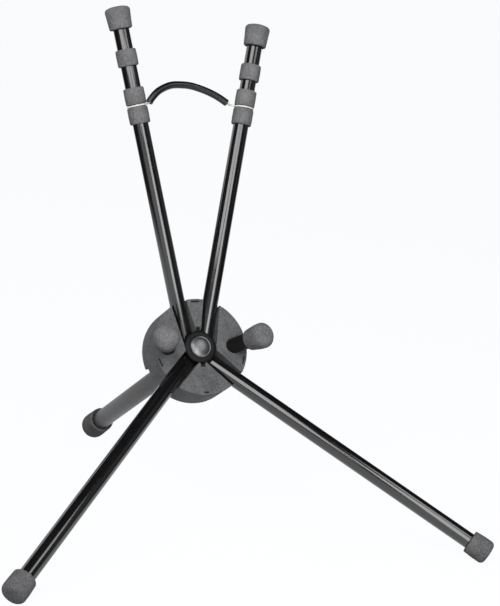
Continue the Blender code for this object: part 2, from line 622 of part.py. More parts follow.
def build_centre(head):
    """The cap with its badge disc, and the bolt and nut that hold head, hub and rear leg."""
    cap_top = CAP_UNDERSIDE + CAP_THICKNESS
    recess = BADGE_RADIUS + GAP
    stem = POST_BORE - GAP
    stem_low = POST_SEAT + BOLT_HEAD_HEIGHT + 2 * GAP
    profile = [(0, cap_top - BADGE_RECESS), (recess, cap_top - BADGE_RECESS), (recess, cap_top),
               (CAP_RADIUS - CAP_EDGE, cap_top), (CAP_RADIUS, cap_top - CAP_EDGE),
               (CAP_RADIUS, CAP_UNDERSIDE), (stem, CAP_UNDERSIDE), (stem, stem_low), (0, stem_low)]
    turned("hub_cap", profile, head, "black_plastic", sides=HEAD_SIDES // 2)
    low = cap_top - BADGE_RECESS + GAP
    rim = cap_top + GAP
    profile = [(0, rim + BADGE_DOME)]
    for step in range(1, ARC_POINTS + 1):
        reach = BADGE_RADIUS * step / ARC_POINTS
        profile.append((reach, rim + BADGE_DOME * (1 - (step / ARC_POINTS) ** 2)))
    turned("cap_badge", profile + [(BADGE_RADIUS, low), (0, low)], head, "gloss_black")
    seat = POST_SEAT + GAP
    head_radius = POST_BORE - GAP
    bolt_end = BACK - GAP - REAR_PLUG_LENGTH
    profile = [(0, seat + BOLT_HEAD_HEIGHT), (head_radius, seat + BOLT_HEAD_HEIGHT), (head_radius, seat),
               (BOLT_RADIUS, seat), (BOLT_RADIUS, bolt_end), (0, bolt_end)]
    bolt = turned("hub_bolt", profile, head, "zinc_steel")
    socket = drum("bolt_socket", SOCKET_RADIUS, seat + BOLT_HEAD_HEIGHT - SOCKET_DEPTH, PAST, head, sides=6)
    shape_with(bolt, socket)
    nut_top = bolt_end + NUT_POCKET_DEPTH - GAP
    nut = drum("hub_nut", NUT_RADIUS, nut_top - NUT_HEIGHT, nut_top, head, "zinc_steel",
               frame=polar(0.0, 0.0), sides=6)
    shape_with(nut, drum("nut_hole", BOLT_RADIUS + GAP, bolt_end - PAST, BACK, head))


def build_rear_leg(head):
    """The fixed rear leg: a plug on the hub bolt, a wide tube and a rubber foot."""
    top = BACK - GAP
    plug_low = top - REAR_PLUG_LENGTH
    profile = [(BOLT_RADIUS + GAP, top), (REAR_TUBE_BORE - GAP, top), (REAR_TUBE_BORE - GAP, plug_low),
               (BOLT_RADIUS + GAP, plug_low)]
    plug = turned("rear_leg_plug", profile, head, "black_plastic", closed=True)
    pocket = drum("nut_pocket", NUT_RADIUS + GAP, plug_low - PAST, plug_low + NUT_POCKET_DEPTH, head,
                  frame=polar(0.0, 0.0), sides=6)
    shape_with(plug, pocket)
    foot_inside = -REAR_REACH + RUBBER_FLOOR + GAP
    profile = [(REAR_TUBE_BORE, top), (REAR_TUBE_RADIUS, top), (REAR_TUBE_RADIUS, foot_inside),
               (REAR_TUBE_BORE, foot_inside)]
    tube = turned("rear_leg_tube", profile, head, "grey_paint", closed=True)
    for piece, word in ((plug, "plug"), (tube, "tube")):
        hole = drum(f"rear_hole_{word}", SHELL_SCREW_RADIUS + GAP, BOLT_RADIUS + 2 * GAP, PAST, head,
                    frame=rear_screw_frame(), sides=SMALL_SIDES)
        shape_with(piece, hole)
    backward = Matrix.Rotation(math.pi, 4, "X")
    profile = rubber_profile(REAR_REACH, REAR_FOOT_LENGTH, REAR_FOOT_RADIUS - FOOT_TAPER,
                             REAR_FOOT_RADIUS, REAR_FOOT_RADIUS - FOOT_EDGE, FOOT_EDGE,
                             REAR_TUBE_RADIUS + GAP)
    foot = turned("rear_foot", profile, head, "grey_rubber", frame=backward)
    shape_with(foot, floor_cutter("rear_floor"))


def floor_cutter(name):
    """Everything below the floor, to give a foot its flat."""
    return block(name, (-1, -1, -1), (1, 1, 0), None)


def build_pegs(head):
    """Two pegs that hold the bell: a stem cut flush with the face, and a rubber cap."""
    for side, word in ((-1, "left"), (1, "right")):
        frame = peg_frame(side)
        tip = PEG_LENGTH - RUBBER_FLOOR - GAP
        stem = drum(f"peg_stem_{word}", PEG_RADIUS, -PEG_RADIUS, tip, head, "black_plastic", frame=frame)
        base = block(f"peg_base_{word}", (-PAST - PEG_SPREAD, -PAST, -PAST),
                     (PAST + PEG_SPREAD, PAST, FACE + GAP), head)
        shape_with(stem, base)
        hole = drum(f"peg_pilot_{word}", PEG_SCREW_RADIUS + GAP, -PEG_RADIUS - HEAD_WALL,
                    PEG_SCREW_LENGTH - PEG_SCREW_SEAT, head, frame=frame, sides=SMALL_SIDES)
        shape_with(stem, hole)
        profile = rubber_profile(PEG_LENGTH, PEG_CAP_LENGTH, PEG_CAP_MOUTH, PEG_CAP_BELLY, PEG_CAP_FLAT,
                                 PEG_CAP_DOME, PEG_RADIUS + GAP)
        turned(f"peg_cap_{word}", profile, head, "grey_rubber", frame=frame)


def build_hinge_fixings(head):
    """The hinge pins and the friction washers, which stay with the hub."""
    for limb, (azimuth, offset, _reach, side) in LIMBS.items():
        frame = (azimuth_frame(azimuth, offset) @ sideways_frame()
                 @ Matrix.Translation((PIVOT_RADIUS, PIVOT_HEIGHT, 0)))
        ends = (-side * (FAR_EAR + EAR_THICKNESS - GAP), side * (NEAR_EAR + EAR_THICKNESS - GAP))
        drum(f"hinge_pin_{limb}", PIN_RADIUS, min(ends), max(ends), head, "zinc_steel", frame=frame,
             sides=SMALL_SIDES)
        middle = -side * (TONGUE_SIDE + GAP + WASHER_THICKNESS / 2)
        low, high = middle - WASHER_THICKNESS / 2, middle + WASHER_THICKNESS / 2
        inner, outer = PIN_HOLE, PIN_HOLE + WASHER_RIM
        profile = [(inner, high), (outer, high), (outer, low), (inner, low)]
        turned(f"friction_washer_{limb}", profile, head, "brake_fibre", frame=frame, closed=True,
               sides=SMALL_SIDES)


def build_limb(limb, carrier, reach):
    """A limb's tube, its knuckle and the rivet that holds the knuckle in the tube."""
    start = TUBE_START - PIVOT_SETBACK
    end = reach - PIVOT_SETBACK - RUBBER_FLOOR - GAP
    axis = Matrix.Translation((0, PIVOT_DEPTH, 0))
    profile = [(TUBE_BORE, end), (TUBE_RADIUS, end), (TUBE_RADIUS, start), (TUBE_BORE, start)]
    tube = turned(f"{limb}_tube", profile, carrier, "gloss_black", frame=axis, closed=True)
    slot_side = TONGUE_SIDE + 2 * GAP
    slot = block(f"tube_slot_{limb}", (-slot_side, -TUBE_RADIUS - GAP, start - PAST),
                 (slot_side, -TUBE_RADIUS / 2, EYE_RADIUS + GAP), carrier, frame=axis)
    shape_with(tube, slot)
    plug = drum(f"{limb}_knuckle", TUBE_BORE - GAP, start + GAP, start + GAP + PLUG_LENGTH, carrier,
                "black_plastic", frame=axis)
    outline = arc(0, 0, EYE_RADIUS, 90, 270, EYE_POINTS)
    root = PIVOT_DEPTH - TUBE_RADIUS / 2
    outline += [(root, start + GAP), (root, EYE_RADIUS)]
    across = sideways_frame()
    tongue = extruded(f"tongue_{limb}", outline, -TONGUE_SIDE, TONGUE_SIDE, carrier, frame=across)
    shape_with(plug, tongue, "UNION")
    shape_with(plug, drum(f"eye_hole_{limb}", PIN_HOLE, -PAST, PAST, carrier, frame=across,
                          sides=SMALL_SIDES))
    rivet_frame = (Matrix.Translation((0, PIVOT_DEPTH, start + RIVET_STATION))
                   @ Matrix.Rotation(math.pi / 2, 4, "X"))
    for piece, word in ((tube, "tube"), (plug, "plug")):
        hole = drum(f"rivet_hole_{word}_{limb}", RIVET_RADIUS + GAP, TUBE_RADIUS / 2 - GAP, PAST, carrier,
                    frame=rivet_frame, sides=SMALL_SIDES)
        shape_with(piece, hole)
    seat = TUBE_RADIUS + GAP
    profile = [(0, seat + RIVET_RADIUS / 2), (RIVET_RADIUS, seat + RIVET_RADIUS / 2),
               (2 * RIVET_RADIUS - GAP, seat), (RIVET_RADIUS, seat), (RIVET_RADIUS, TUBE_RADIUS / 2),
               (0, TUBE_RADIUS / 2)]
    turned(f"{limb}_rivet", profile, carrier, "zinc_steel", frame=rivet_frame, sides=SMALL_SIDES)
    return axis


def build_leg(limb, carrier, reach):
    """A front leg: its tube and hinge end, and a rubber foot with a flat on the floor."""
    axis = build_limb(limb, carrier, reach)
    profile = rubber_profile(reach - PIVOT_SETBACK, FOOT_LENGTH, FOOT_RADIUS - FOOT_TAPER, FOOT_RADIUS,
                             FOOT_RADIUS - FOOT_EDGE, FOOT_EDGE, TUBE_RADIUS + GAP)
    foot = turned(f"{limb}_foot", profile, carrier, "grey_rubber", frame=axis)
    shape_with(foot, floor_cutter(f"floor_{limb}"))


def build_arm(limb, carrier, reach):
    """An arm: its tube and hinge end, a rubber end cap, three rings and the cord's loop."""
    axis = build_limb(limb, carrier, reach)
    word = limb.split("_")[1]
    inner = TUBE_RADIUS + GAP
    tip = reach + ARM_CAP_LIFT[word] - PIVOT_SETBACK
    profile = rubber_profile(tip, ARM_CAP_LENGTH, ARM_CAP_MOUTH, ARM_CAP_BELLY, ARM_CAP_FLAT,
                             ARM_CAP_DOME, inner)
    turned(f"{limb}_cap", profile, carrier, "grey_rubber", frame=axis)
    upper, middle = (reach - drop for drop in RING_DROPS[word])
    loop = middle - RING_LENGTH / 2 - GAP - LOOP_WIDTH / 2
    lower = loop - LOOP_WIDTH / 2 - GAP - RING_LENGTH / 2
    for place, station in (("upper", upper), ("middle", middle), ("lower", lower)):
        profile = ring_profile(station - PIVOT_SETBACK, RING_LENGTH, inner, RING_RADIUS, RING_EDGE)
        turned(f"{limb}_ring_{place}", profile, carrier, "grey_rubber", frame=axis, closed=True)
    profile = ring_profile(loop - PIVOT_SETBACK, LOOP_WIDTH, inner, LOOP_RADIUS, LOOP_WIDTH / 4)
    turned(f"cord_loop_{word}", profile, carrier, "white_string", frame=axis, closed=True)


def build_cord(head):
    """The cord across the arms: the sleeve, and the string where it leaves each end."""
    sleeve = smooth_route(SLEEVE_ROUTE, 4 * SLEEVE_RADIUS)
    wire("cord_sleeve", sleeve, SLEEVE_RADIUS, head, "sleeve_rubber", 3)
    for word, route in STRING_ROUTES.items():
        wire(f"cord_string_{word}", smooth_route(route, 4 * STRING_RADIUS), STRING_RADIUS, head,
             "white_string", 2)


def build_stand():
    """Build every piece of the stand."""
    start_scene()
    head = empty("head", None, Matrix.Translation(HEAD_PLACE) @ head_rotation())
    build_head_body(head)
    build_back_cover(head)
    build_screws(head)
    build_hub(head)
    build_centre(head)
    build_rear_leg(head)
    build_pegs(head)
    build_hinge_fixings(head)
    for limb, (azimuth, offset, reach, _side) in LIMBS.items():
        carrier = empty(f"{limb}_hinge", head, limb_frame(azimuth, offset))
        if limb.startswith("leg"):
            build_leg(limb, carrier, reach)
        else:
            build_arm(limb, carrier, reach)
    build_cord(head)


build_stand()
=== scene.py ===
"""Looks of a folding floor stand for an alto saxophone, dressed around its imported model.

Two arms, two legs and a fixed rear leg meet in a slotted hinge head. Each class below models
one sub-assembly with Blender's own operators, dresses it and puts it on the body it moves with.

Metres, +Z up, X to the viewer's right, Y away from the viewer. Head pieces are drawn in the
head's frame: X across, Y up its face, Z out of its face. Limb pieces are drawn about their
tube: X along the hinge pin, Y to the front of the tube, Z along it from the head's centre.
"""
import logging
import math
from dataclasses import dataclass, field
from enum import Enum
from typing import Callable, Iterable

import bmesh
import bpy
from mathutils import Matrix, Quaternion, Vector


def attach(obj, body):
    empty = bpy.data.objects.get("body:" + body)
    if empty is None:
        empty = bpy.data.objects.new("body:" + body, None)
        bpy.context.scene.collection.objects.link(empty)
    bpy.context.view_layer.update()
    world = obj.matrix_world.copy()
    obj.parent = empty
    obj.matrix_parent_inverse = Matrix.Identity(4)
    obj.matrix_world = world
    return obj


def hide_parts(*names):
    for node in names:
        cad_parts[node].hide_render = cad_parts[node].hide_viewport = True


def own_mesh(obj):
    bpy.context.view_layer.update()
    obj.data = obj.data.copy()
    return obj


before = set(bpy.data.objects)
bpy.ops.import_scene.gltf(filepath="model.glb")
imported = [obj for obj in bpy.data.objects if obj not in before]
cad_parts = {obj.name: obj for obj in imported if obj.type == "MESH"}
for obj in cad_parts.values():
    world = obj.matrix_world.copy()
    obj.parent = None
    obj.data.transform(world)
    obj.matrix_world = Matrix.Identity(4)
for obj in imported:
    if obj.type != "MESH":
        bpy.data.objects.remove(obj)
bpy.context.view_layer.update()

LOG = logging.getLogger("stand")

Colour = tuple[float, float, float]
Corner = tuple[float, float, float]
Node = bpy.types.Node
Piece = bpy.types.Object

# Stance and hinge places, the same as in the CAD
HEAD_TILT = math.radians(28.75)
HEAD_PLACE = (0.0, -0.043968847, 0.172395112)
LIMB_RISE = math.radians(16.3)
ARM_AZIMUTH = math.radians(12.04)
LEG_AZIMUTH = math.radians(134.9)
ARM_OFFSET = 0.0080
PIVOT_SETBACK = 0.0125
PIVOT_DEPTH = 0.0130
GAP = 0.0003
TUBE_RADIUS = 0.0080
TUBE_START = 0.0103
PAST = 0.0500
HEAD_FRAME = Matrix.Translation(HEAD_PLACE) @ Matrix.Rotation(math.pi / 2 - HEAD_TILT, 4, "X")


class Slot(Enum):
    """Material slots that a piece can take its finish from."""

    GLOSS_BLACK = "gloss_black"
    BLACK_PLASTIC = "black_plastic"
    HEAD_PLASTIC = "head_plastic"
    GREY_PAINT = "grey_paint"
    GREY_RUBBER = "grey_rubber"
    SLEEVE_RUBBER = "sleeve_rubber"
    ZINC_STEEL = "zinc_steel"
    WHITE_STRING = "white_string"
    BRAKE_FIBRE = "brake_fibre"


class Side(Enum):
    """The viewer's left or right."""

    LEFT = -1
    RIGHT = 1

    @property
    def word(self) -> str:
        """The side as a word in names."""
        return self.name.lower()


class NodeBench:
    """Adds and links the nodes of one node tree."""

    def __init__(self, tree: bpy.types.NodeTree) -> None:
        """Keep the tree that nodes are added to.

        Args:
            tree: A material's, a world's or a group's node tree.
        """
        self.tree = tree

    def add(self, kind: str, settings: dict[str, object] | None = None,
            inputs: dict[str | int, object] | None = None) -> Node:
        """Add a node, set its properties, and set or link its inputs.

        Args:
            kind: The node's type name.
            settings: Properties of the node, by name.
            inputs: Values or output sockets for its inputs, by name or number.

        Returns:
            The new node.
        """
        node = self.tree.nodes.new(kind)
        for name, value in (settings or {}).items():
            setattr(node, name, value)
        for name, value in (inputs or {}).items():
            if isinstance(value, bpy.types.NodeSocket):
                self.tree.links.new(value, node.inputs[name])
            else:
                node.inputs[name].default_value = value
        return node

    def maths(self, operation: str, first: object, second: object = 0.0, clamp: bool = False) -> object:
        """Add a Math node.

        Args:
            operation: The node's operation.
            first: Its first value or socket.
            second: Its second value or socket.
            clamp: Whether the result stays between 0 and 1.

        Returns:
            The node's output socket.
        """
        node = self.add("ShaderNodeMath", {"operation": operation, "use_clamp": clamp}, {0: first, 1: second})
        return node.outputs[0]

    def spread(self, value: object, low: float, high: float, to_low: float, to_high: float) -> object:
        """Map a value from one range to another, held at its ends.

        Args:
            value: The socket to map.
            low: Value that gives to_low.
            high: Value that gives to_high.
            to_low: Result at the low end.
            to_high: Result at the high end.

        Returns:
            The node's output socket.
        """
        node = self.add("ShaderNodeMapRange", {"clamp": True},
                        {"Value": value, "From Min": low, "From Max": high, "To Min": to_low, "To Max": to_high})
        return node.outputs[0]

    def noise(self, vector: object, scale: object, detail: float = 3.0, roughness: float = 0.55) -> object:
        """Add a noise texture.

        Args:
            vector: Coordinates to read.
            scale: Size of the pattern, per metre.
            detail: Octaves.
            roughness: How much the small octaves count.

        Returns:
            The noise's value socket.
        """
        node = self.add("ShaderNodeTexNoise", {"noise_dimensions": "3D"},
                        {"Vector": vector, "Scale": scale, "Detail": detail, "Roughness": roughness})
        return node.outputs[0]

    def blend_colours(self, share: object, first: object, second: object) -> object:
        """Mix two colours.

        Args:
            share: How much of the second shows.
            first: Colour or socket.
            second: Colour or socket.

        Returns:
            The mixed colour's socket.
        """
        node = self.add("ShaderNodeMix", {"data_type": "RGBA"}, {0: share, 6: first, 7: second})
        return node.outputs[2]


class EffectGroup:
    """Surface effects that several finishes share, each one a node group built once."""

    @staticmethod
    def make(name: str, inputs: dict[str, str], outputs: dict[str, str]
             ) -> tuple[bpy.types.NodeTree, NodeBench, Node, Node]:
        """Start a group with its sockets.

        Args:
            name: The group's name.
            inputs: Socket types of the inputs, by name.
            outputs: Socket types of the outputs, by name.

        Returns:
            The group, a bench for it, and its input and output nodes.
        """
        tree = bpy.data.node_groups.new(name, "ShaderNodeTree")
        for word, kind in inputs.items():
            tree.interface.new_socket(name=word, in_out="INPUT", socket_type=kind)
        for word, kind in outputs.items():
            tree.interface.new_socket(name=word, in_out="OUTPUT", socket_type=kind)
        bench = NodeBench(tree)
        return tree, bench, bench.add("NodeGroupInput"), bench.add("NodeGroupOutput")

    @classmethod
    def moulded_grain(cls) -> bpy.types.NodeTree:
        """Fine spark-eroded grain of a mould, over a slow unevenness of tone.

        Returns:
            The group, with a height and a tone output.
        """
        tree, bench, start, end = cls.make(
            "moulded_grain", {"Vector": "NodeSocketVector", "Scale": "NodeSocketFloat"},
            {"Height": "NodeSocketFloat", "Tone": "NodeSocketFloat"})
        vector, scale = start.outputs["Vector"], start.outputs["Scale"]
        fine = bench.noise(vector, scale, 2.0)
        cells = bench.add("ShaderNodeTexVoronoi", {"feature": "SMOOTH_F1"},
                          {"Vector": vector, "Scale": bench.maths("MULTIPLY", scale, 1.7)})
        height = bench.maths("ADD", bench.maths("MULTIPLY", fine, 0.6),
                             bench.maths("MULTIPLY", cells.outputs["Distance"], 0.5))
        broad = bench.noise(vector, bench.maths("MULTIPLY", scale, 0.03), 4.0)
        mottle = bench.noise(vector, bench.maths("MULTIPLY", scale, 0.30), 4.0, 0.7)
        tone = bench.maths("ADD", bench.maths("MULTIPLY", broad, 0.30), bench.maths("MULTIPLY", mottle, 0.70))
        bench.tree.links.new(height, end.inputs["Height"])
        bench.tree.links.new(tone, end.inputs["Tone"])
        return tree

    @classmethod
    def handling_marks(cls) -> bpy.types.NodeTree:
        """Faint smears and hair scratches left by hands and by folding.

        Returns:
            The group, with a mask output.
        """
        tree, bench, start, end = cls.make(
            "handling_marks", {"Vector": "NodeSocketVector", "Scale": "NodeSocketFloat"},
            {"Mask": "NodeSocketFloat"})
        smear = bench.spread(bench.noise(start.outputs["Vector"], start.outputs["Scale"], 5.0, 0.65),
                             0.42, 0.72, 0.0, 1.0)
        drawn = bench.add("ShaderNodeMapping", None,
                          {"Vector": start.outputs["Vector"], "Scale": (1.0, 0.09, 0.16), "Rotation": (0.3, 0.2, 0.7)})
        hair = bench.noise(drawn.outputs[0], bench.maths("MULTIPLY", start.outputs["Scale"], 22.0), 2.0)
        scratch = bench.spread(hair, 0.66, 0.74, 0.0, 1.0)
        mask = bench.maths("MAXIMUM", bench.maths("MULTIPLY", smear, 0.6), scratch)
        bench.tree.links.new(mask, end.inputs["Mask"])
        return tree

    @classmethod
    def settled_dust(cls) -> bpy.types.NodeTree:
        """Thin dust that gathers in patches.

        Returns:
            The group, with a mask output.
        """
        tree, bench, start, end = cls.make(
            "settled_dust", {"Vector": "NodeSocketVector", "Amount": "NodeSocketFloat"},
            {"Mask": "NodeSocketFloat"})
        patches = bench.noise(start.outputs["Vector"], 34.0, 6.0, 0.7)
        motes = bench.spread(bench.noise(start.outputs["Vector"], 1900.0, 2.0), 0.55, 0.75, 0.2, 1.0)
        mask = bench.maths("MULTIPLY", bench.maths("MULTIPLY", bench.spread(patches, 0.45, 0.7, 0.0, 1.0), motes),
                           start.outputs["Amount"])
        bench.tree.links.new(mask, end.inputs["Mask"])
        return tree


@dataclass(frozen=True)
class Finish:
    """One surface finish: its colours, gloss, grain and wear."""

    slot: Slot
    colour: Colour
    second_colour: Colour
    roughness: float
    worn_roughness: float
    grain_scale: float
    grain_depth: float
    marks_scale: float = 60.0
    dust: float = 0.0
    metallic: float = 0.0
    specular: float = 0.5
    coat: float = 0.0
    coat_roughness: float = 0.1
    variant: str = ""

    def material(self, groups: dict[str, bpy.types.NodeTree]) -> bpy.types.Material:
        """Build the material.

        Args:
            groups: The shared effect groups, by name.

        Returns:
            The finished material.
        """
        made = bpy.data.materials.new(f"finish_{self.slot.value}{self.variant}")
        made.use_nodes = True
        made.node_tree.nodes.clear()
        bench = NodeBench(made.node_tree)
        place = bench.add("ShaderNodeTexCoord").outputs["Object"]
        grain = bench.add("ShaderNodeGroup", {"node_tree": groups["moulded_grain"]},
                          {"Vector": place, "Scale": self.grain_scale})
        marks = bench.add("ShaderNodeGroup", {"node_tree": groups["handling_marks"]},
                          {"Vector": place, "Scale": self.marks_scale})
        dust = bench.add("ShaderNodeGroup", {"node_tree": groups["settled_dust"]},
                         {"Vector": place, "Amount": self.dust})
        tone = bench.spread(grain.outputs["Tone"], 0.41, 0.59, 0.0, 1.0)
        base = bench.blend_colours(tone, (*self.colour, 1.0), (*self.second_colour, 1.0))
        dusty = bench.blend_colours(dust.outputs["Mask"], base, (0.36, 0.35, 0.33, 1.0))
        rough = bench.spread(marks.outputs["Mask"], 0.0, 1.0, self.roughness, self.worn_roughness)
        bump = bench.add("ShaderNodeBump", None, {"Strength": 1.0, "Distance": self.grain_depth,
                                                  "Height": grain.outputs["Height"]})
        shader = bench.add("ShaderNodeBsdfPrincipled", None, {
            "Base Color": dusty, "Roughness": rough, "Metallic": self.metallic,
            "Specular IOR Level": self.specular, "Coat Weight": self.coat,
            "Coat Roughness": self.coat_roughness, "Normal": bump.outputs[0]})
        bench.add("ShaderNodeOutputMaterial", None, {"Surface": shader.outputs[0]})
        return made


FINISHES = (
    Finish(Slot.GLOSS_BLACK, (0.0052, 0.0052, 0.0058), (0.0072, 0.0072, 0.0080), 0.13, 0.22,
           grain_scale=420.0, grain_depth=0.000004, dust=0.010, specular=1.0),
    Finish(Slot.GLOSS_BLACK, (0.150, 0.152, 0.156), (0.210, 0.212, 0.216), 0.34, 0.44,
           grain_scale=1800.0, grain_depth=0.00002, metallic=1.0, variant="_satin"),
    Finish(Slot.BLACK_PLASTIC, (0.0052, 0.0052, 0.0056), (0.0082, 0.0082, 0.0086), 0.46, 0.60,
           grain_scale=2600.0, grain_depth=0.00003, dust=0.015, specular=0.20),
    Finish(Slot.HEAD_PLASTIC, (0.074, 0.076, 0.079), (0.150, 0.152, 0.155), 0.58, 0.72,
           grain_scale=2400.0, grain_depth=0.00008, dust=0.05, specular=0.12),
    Finish(Slot.GREY_PAINT, (0.062, 0.062, 0.064), (0.074, 0.074, 0.076), 0.40, 0.50,
           grain_scale=1500.0, grain_depth=0.00002, dust=0.04, specular=0.30),
    Finish(Slot.GREY_RUBBER, (0.108, 0.108, 0.112), (0.202, 0.202, 0.206), 0.80, 0.92,
           grain_scale=2200.0, grain_depth=0.00012, dust=0.06, specular=0.10),
    Finish(Slot.GREY_RUBBER, (0.082, 0.082, 0.085), (0.156, 0.156, 0.159), 0.82, 0.94,
           grain_scale=2200.0, grain_depth=0.00012, dust=0.10, specular=0.10, variant="_foot"),
    Finish(Slot.SLEEVE_RUBBER, (0.0055, 0.0055, 0.0055), (0.0090, 0.0090, 0.0090), 0.24, 0.38,
           grain_scale=900.0, grain_depth=0.00002, dust=0.03),
    Finish(Slot.ZINC_STEEL, (0.50, 0.50, 0.51), (0.62, 0.62, 0.62), 0.30, 0.48,
           grain_scale=1400.0, grain_depth=0.00002, metallic=1.0),
    Finish(Slot.WHITE_STRING, (0.76, 0.75, 0.71), (0.86, 0.85, 0.82), 0.88, 0.95,
           grain_scale=5200.0, grain_depth=0.00008, specular=0.2),
    Finish(Slot.BRAKE_FIBRE, (0.15, 0.115, 0.075), (0.21, 0.165, 0.105), 0.85, 0.92,
           grain_scale=3000.0, grain_depth=0.00006, specular=0.2),
)


class Wardrobe:
    """All finishes of the stand, made once and handed out by slot."""

    def __init__(self) -> None:
        """Build the effect groups and the materials."""
        groups = {
            "moulded_grain": EffectGroup.moulded_grain(),
            "handling_marks": EffectGroup.handling_marks(),
            "settled_dust": EffectGroup.settled_dust(),
        }
        self.materials = {(finish.slot, finish.variant): finish.material(groups) for finish in FINISHES}

    def dress(self, piece: Piece, slot: Slot, variant: str = "") -> None:
        """Give a new piece the material of its slot.

        Args:
            piece: The finished piece.
            slot: The slot of its finish.
            variant: A variant of the slot's finish.
        """
        piece.data.materials.clear()
        piece.data.materials.append(self.materials[slot, variant])

    def dress_node(self, name: str, slot: Slot) -> None:
        """Give a CAD node that stays in view a finished material.

        Args:
            name: The node's name.
            slot: The slot of its finish.
        """
        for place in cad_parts[name].material_slots:
            place.link = "OBJECT"
            place.material = self.materials[slot, ""]


def azimuth_frame(azimuth: float, offset: float = 0.0) -> Matrix:
    """A frame on the head's axis, with Y pointing out at an angle from the head's top.

    Args:
        azimuth: The angle, in radians.
        offset: How far the frame is moved across the head.

    Returns:
        The frame, inside the head's.
    """
    return Matrix.Translation((offset, 0, 0)) @ Matrix.Rotation(-azimuth, 4, "Z")


def limb_axis_frame(azimuth: float, offset: float) -> Matrix:
    """The world frame of a limb's tube: Z along it, from beside the head's centre.

    Args:
        azimuth: The limb's angle from the head's top, in radians.
        offset: How far the limb is moved across the head.

    Returns:
        The frame.
    """
    cos, sin = math.cos(LIMB_RISE), math.sin(LIMB_RISE)
    pivot = Matrix.Translation((0, PIVOT_SETBACK * cos + PIVOT_DEPTH * sin, PIVOT_SETBACK * sin - PIVOT_DEPTH * cos))
    lean = Matrix(((-1, 0, 0, 0), (0, -sin, cos, 0), (0, cos, sin, 0), (0, 0, 0, 1)))
    along = Matrix.Translation((0, PIVOT_DEPTH, -PIVOT_SETBACK))
    return HEAD_FRAME @ azimuth_frame(azimuth, offset) @ pivot @ lean @ along


def rounded(corners: list[Corner], closed: bool, steps: int = 5) -> list[Vector]:
    """Round the corners of a profile.

    Args:
        corners: Radius, height and rounding of each corner.
        closed: Whether the last corner joins the first.
        steps: Facets of each rounded corner.

    Returns:
        The profile's points, in X and Z.
    """
    places = [Vector((radius, 0.0, height)) for radius, height, _fillet in corners]
    points = []
    for k, (_radius, _height, fillet) in enumerate(corners):
        if fillet == 0 or (not closed and k in (0, len(corners) - 1)):
            points.append(places[k])
            continue
        back = (places[k - 1] - places[k]).normalized()
        onward = (places[(k + 1) % len(places)] - places[k]).normalized()
        half = back.angle(onward) / 2
        centre = places[k] + (back + onward).normalized() * (fillet / math.sin(half))
        start = (places[k] + back * (fillet / math.tan(half)) - centre).normalized()
        stop = (places[k] + onward * (fillet / math.tan(half)) - centre).normalized()
        points += [centre + start.slerp(stop, step / steps) * fillet for step in range(steps + 1)]
    return points


def clear_selection() -> None:
    """Deselect everything, so that the next operator acts on what is made next."""
    if bpy.context.object and bpy.context.object.mode != "OBJECT":
        bpy.ops.object.mode_set(mode="OBJECT")
    bpy.ops.object.select_all(action="DESELECT")


def pick(piece: Piece) -> None:
    """Select one object and make it active.

    Args:
        piece: The object.
    """
    clear_selection()
    piece.select_set(True)
    bpy.context.view_layer.objects.active = piece


def seat(piece: Piece, place: Matrix) -> None:
    """Move a piece to its place and work that into its mesh.

    Args:
        piece: The piece.
        place: Its frame.
    """
    pick(piece)
    piece.matrix_world = place @ piece.matrix_world
    bpy.ops.object.transform_apply(location=True, rotation=True, scale=True)


def smooth(piece: Piece, degrees: float = 32.0) -> None:
    """Shade a piece smooth up to an angle.

    Args:
        piece: The piece.
        degrees: Edges sharper than this stay sharp.
    """
    pick(piece)
    bpy.ops.object.shade_smooth_by_angle(angle=math.radians(degrees))


def turned(name: str, corners: list[Corner], place: Matrix, closed: bool = False, steps: int = 72,
           arc_steps: int = 5) -> Piece:
    """Draw a profile by extruding one point, and spin it about Z.

    Args:
        name: The piece's name.
        corners: Radius, height and rounding of each corner.
        place: The piece's frame.
        closed: Whether the profile is a closed loop.
        steps: Facets round the piece.
        arc_steps: Facets of each rounded corner.

    Returns:
        The piece.
    """
    points = rounded(corners, closed, arc_steps)
    clear_selection()
    bpy.ops.mesh.primitive_plane_add(size=0.002)
    piece = bpy.context.active_object
    piece.name = piece.data.name = name
    bpy.ops.object.mode_set(mode="EDIT")
    bpy.ops.mesh.select_mode(type="VERT")
    bpy.ops.mesh.select_all(action="SELECT")
    bpy.ops.mesh.merge(type="CENTER")
    bpy.ops.transform.translate(value=points[0])
    for here, onward in zip(points, points[1:]):
        bpy.ops.mesh.extrude_region_move(TRANSFORM_OT_translate={"value": onward - here})
    if closed:
        shape = bmesh.from_edit_mesh(piece.data)
        ends = [vert for vert in shape.verts if len(vert.link_edges) == 1]
        for vert in shape.verts:
            vert.select_set(vert in ends)
        shape.select_flush_mode()
        bmesh.update_edit_mesh(piece.data)
        bpy.ops.mesh.edge_face_add()
    bpy.ops.mesh.select_all(action="SELECT")
    bpy.ops.mesh.spin(steps=steps, angle=2 * math.pi, center=(0, 0, 0), axis=(0, 0, 1))
    bpy.ops.mesh.select_all(action="SELECT")
    bpy.ops.mesh.remove_doubles(threshold=0.000002)
    bpy.ops.mesh.normals_make_consistent(inside=False)
    bpy.ops.object.mode_set(mode="OBJECT")
    seat(piece, place)
    smooth(piece)
    return piece


def block(low: Iterable[float], high: Iterable[float]) -> Piece:
    """Add a box between two corners, to cut with.

    Args:
        low: Its lowest corner.
        high: Its highest corner.

    Returns:
        The box.
    """
    low, high = Vector(low), Vector(high)
    clear_selection()
    bpy.ops.mesh.primitive_cube_add(size=1.0, location=(low + high) / 2, scale=high - low)
    bpy.ops.object.transform_apply(location=True, rotation=True, scale=True)
    return bpy.context.active_object


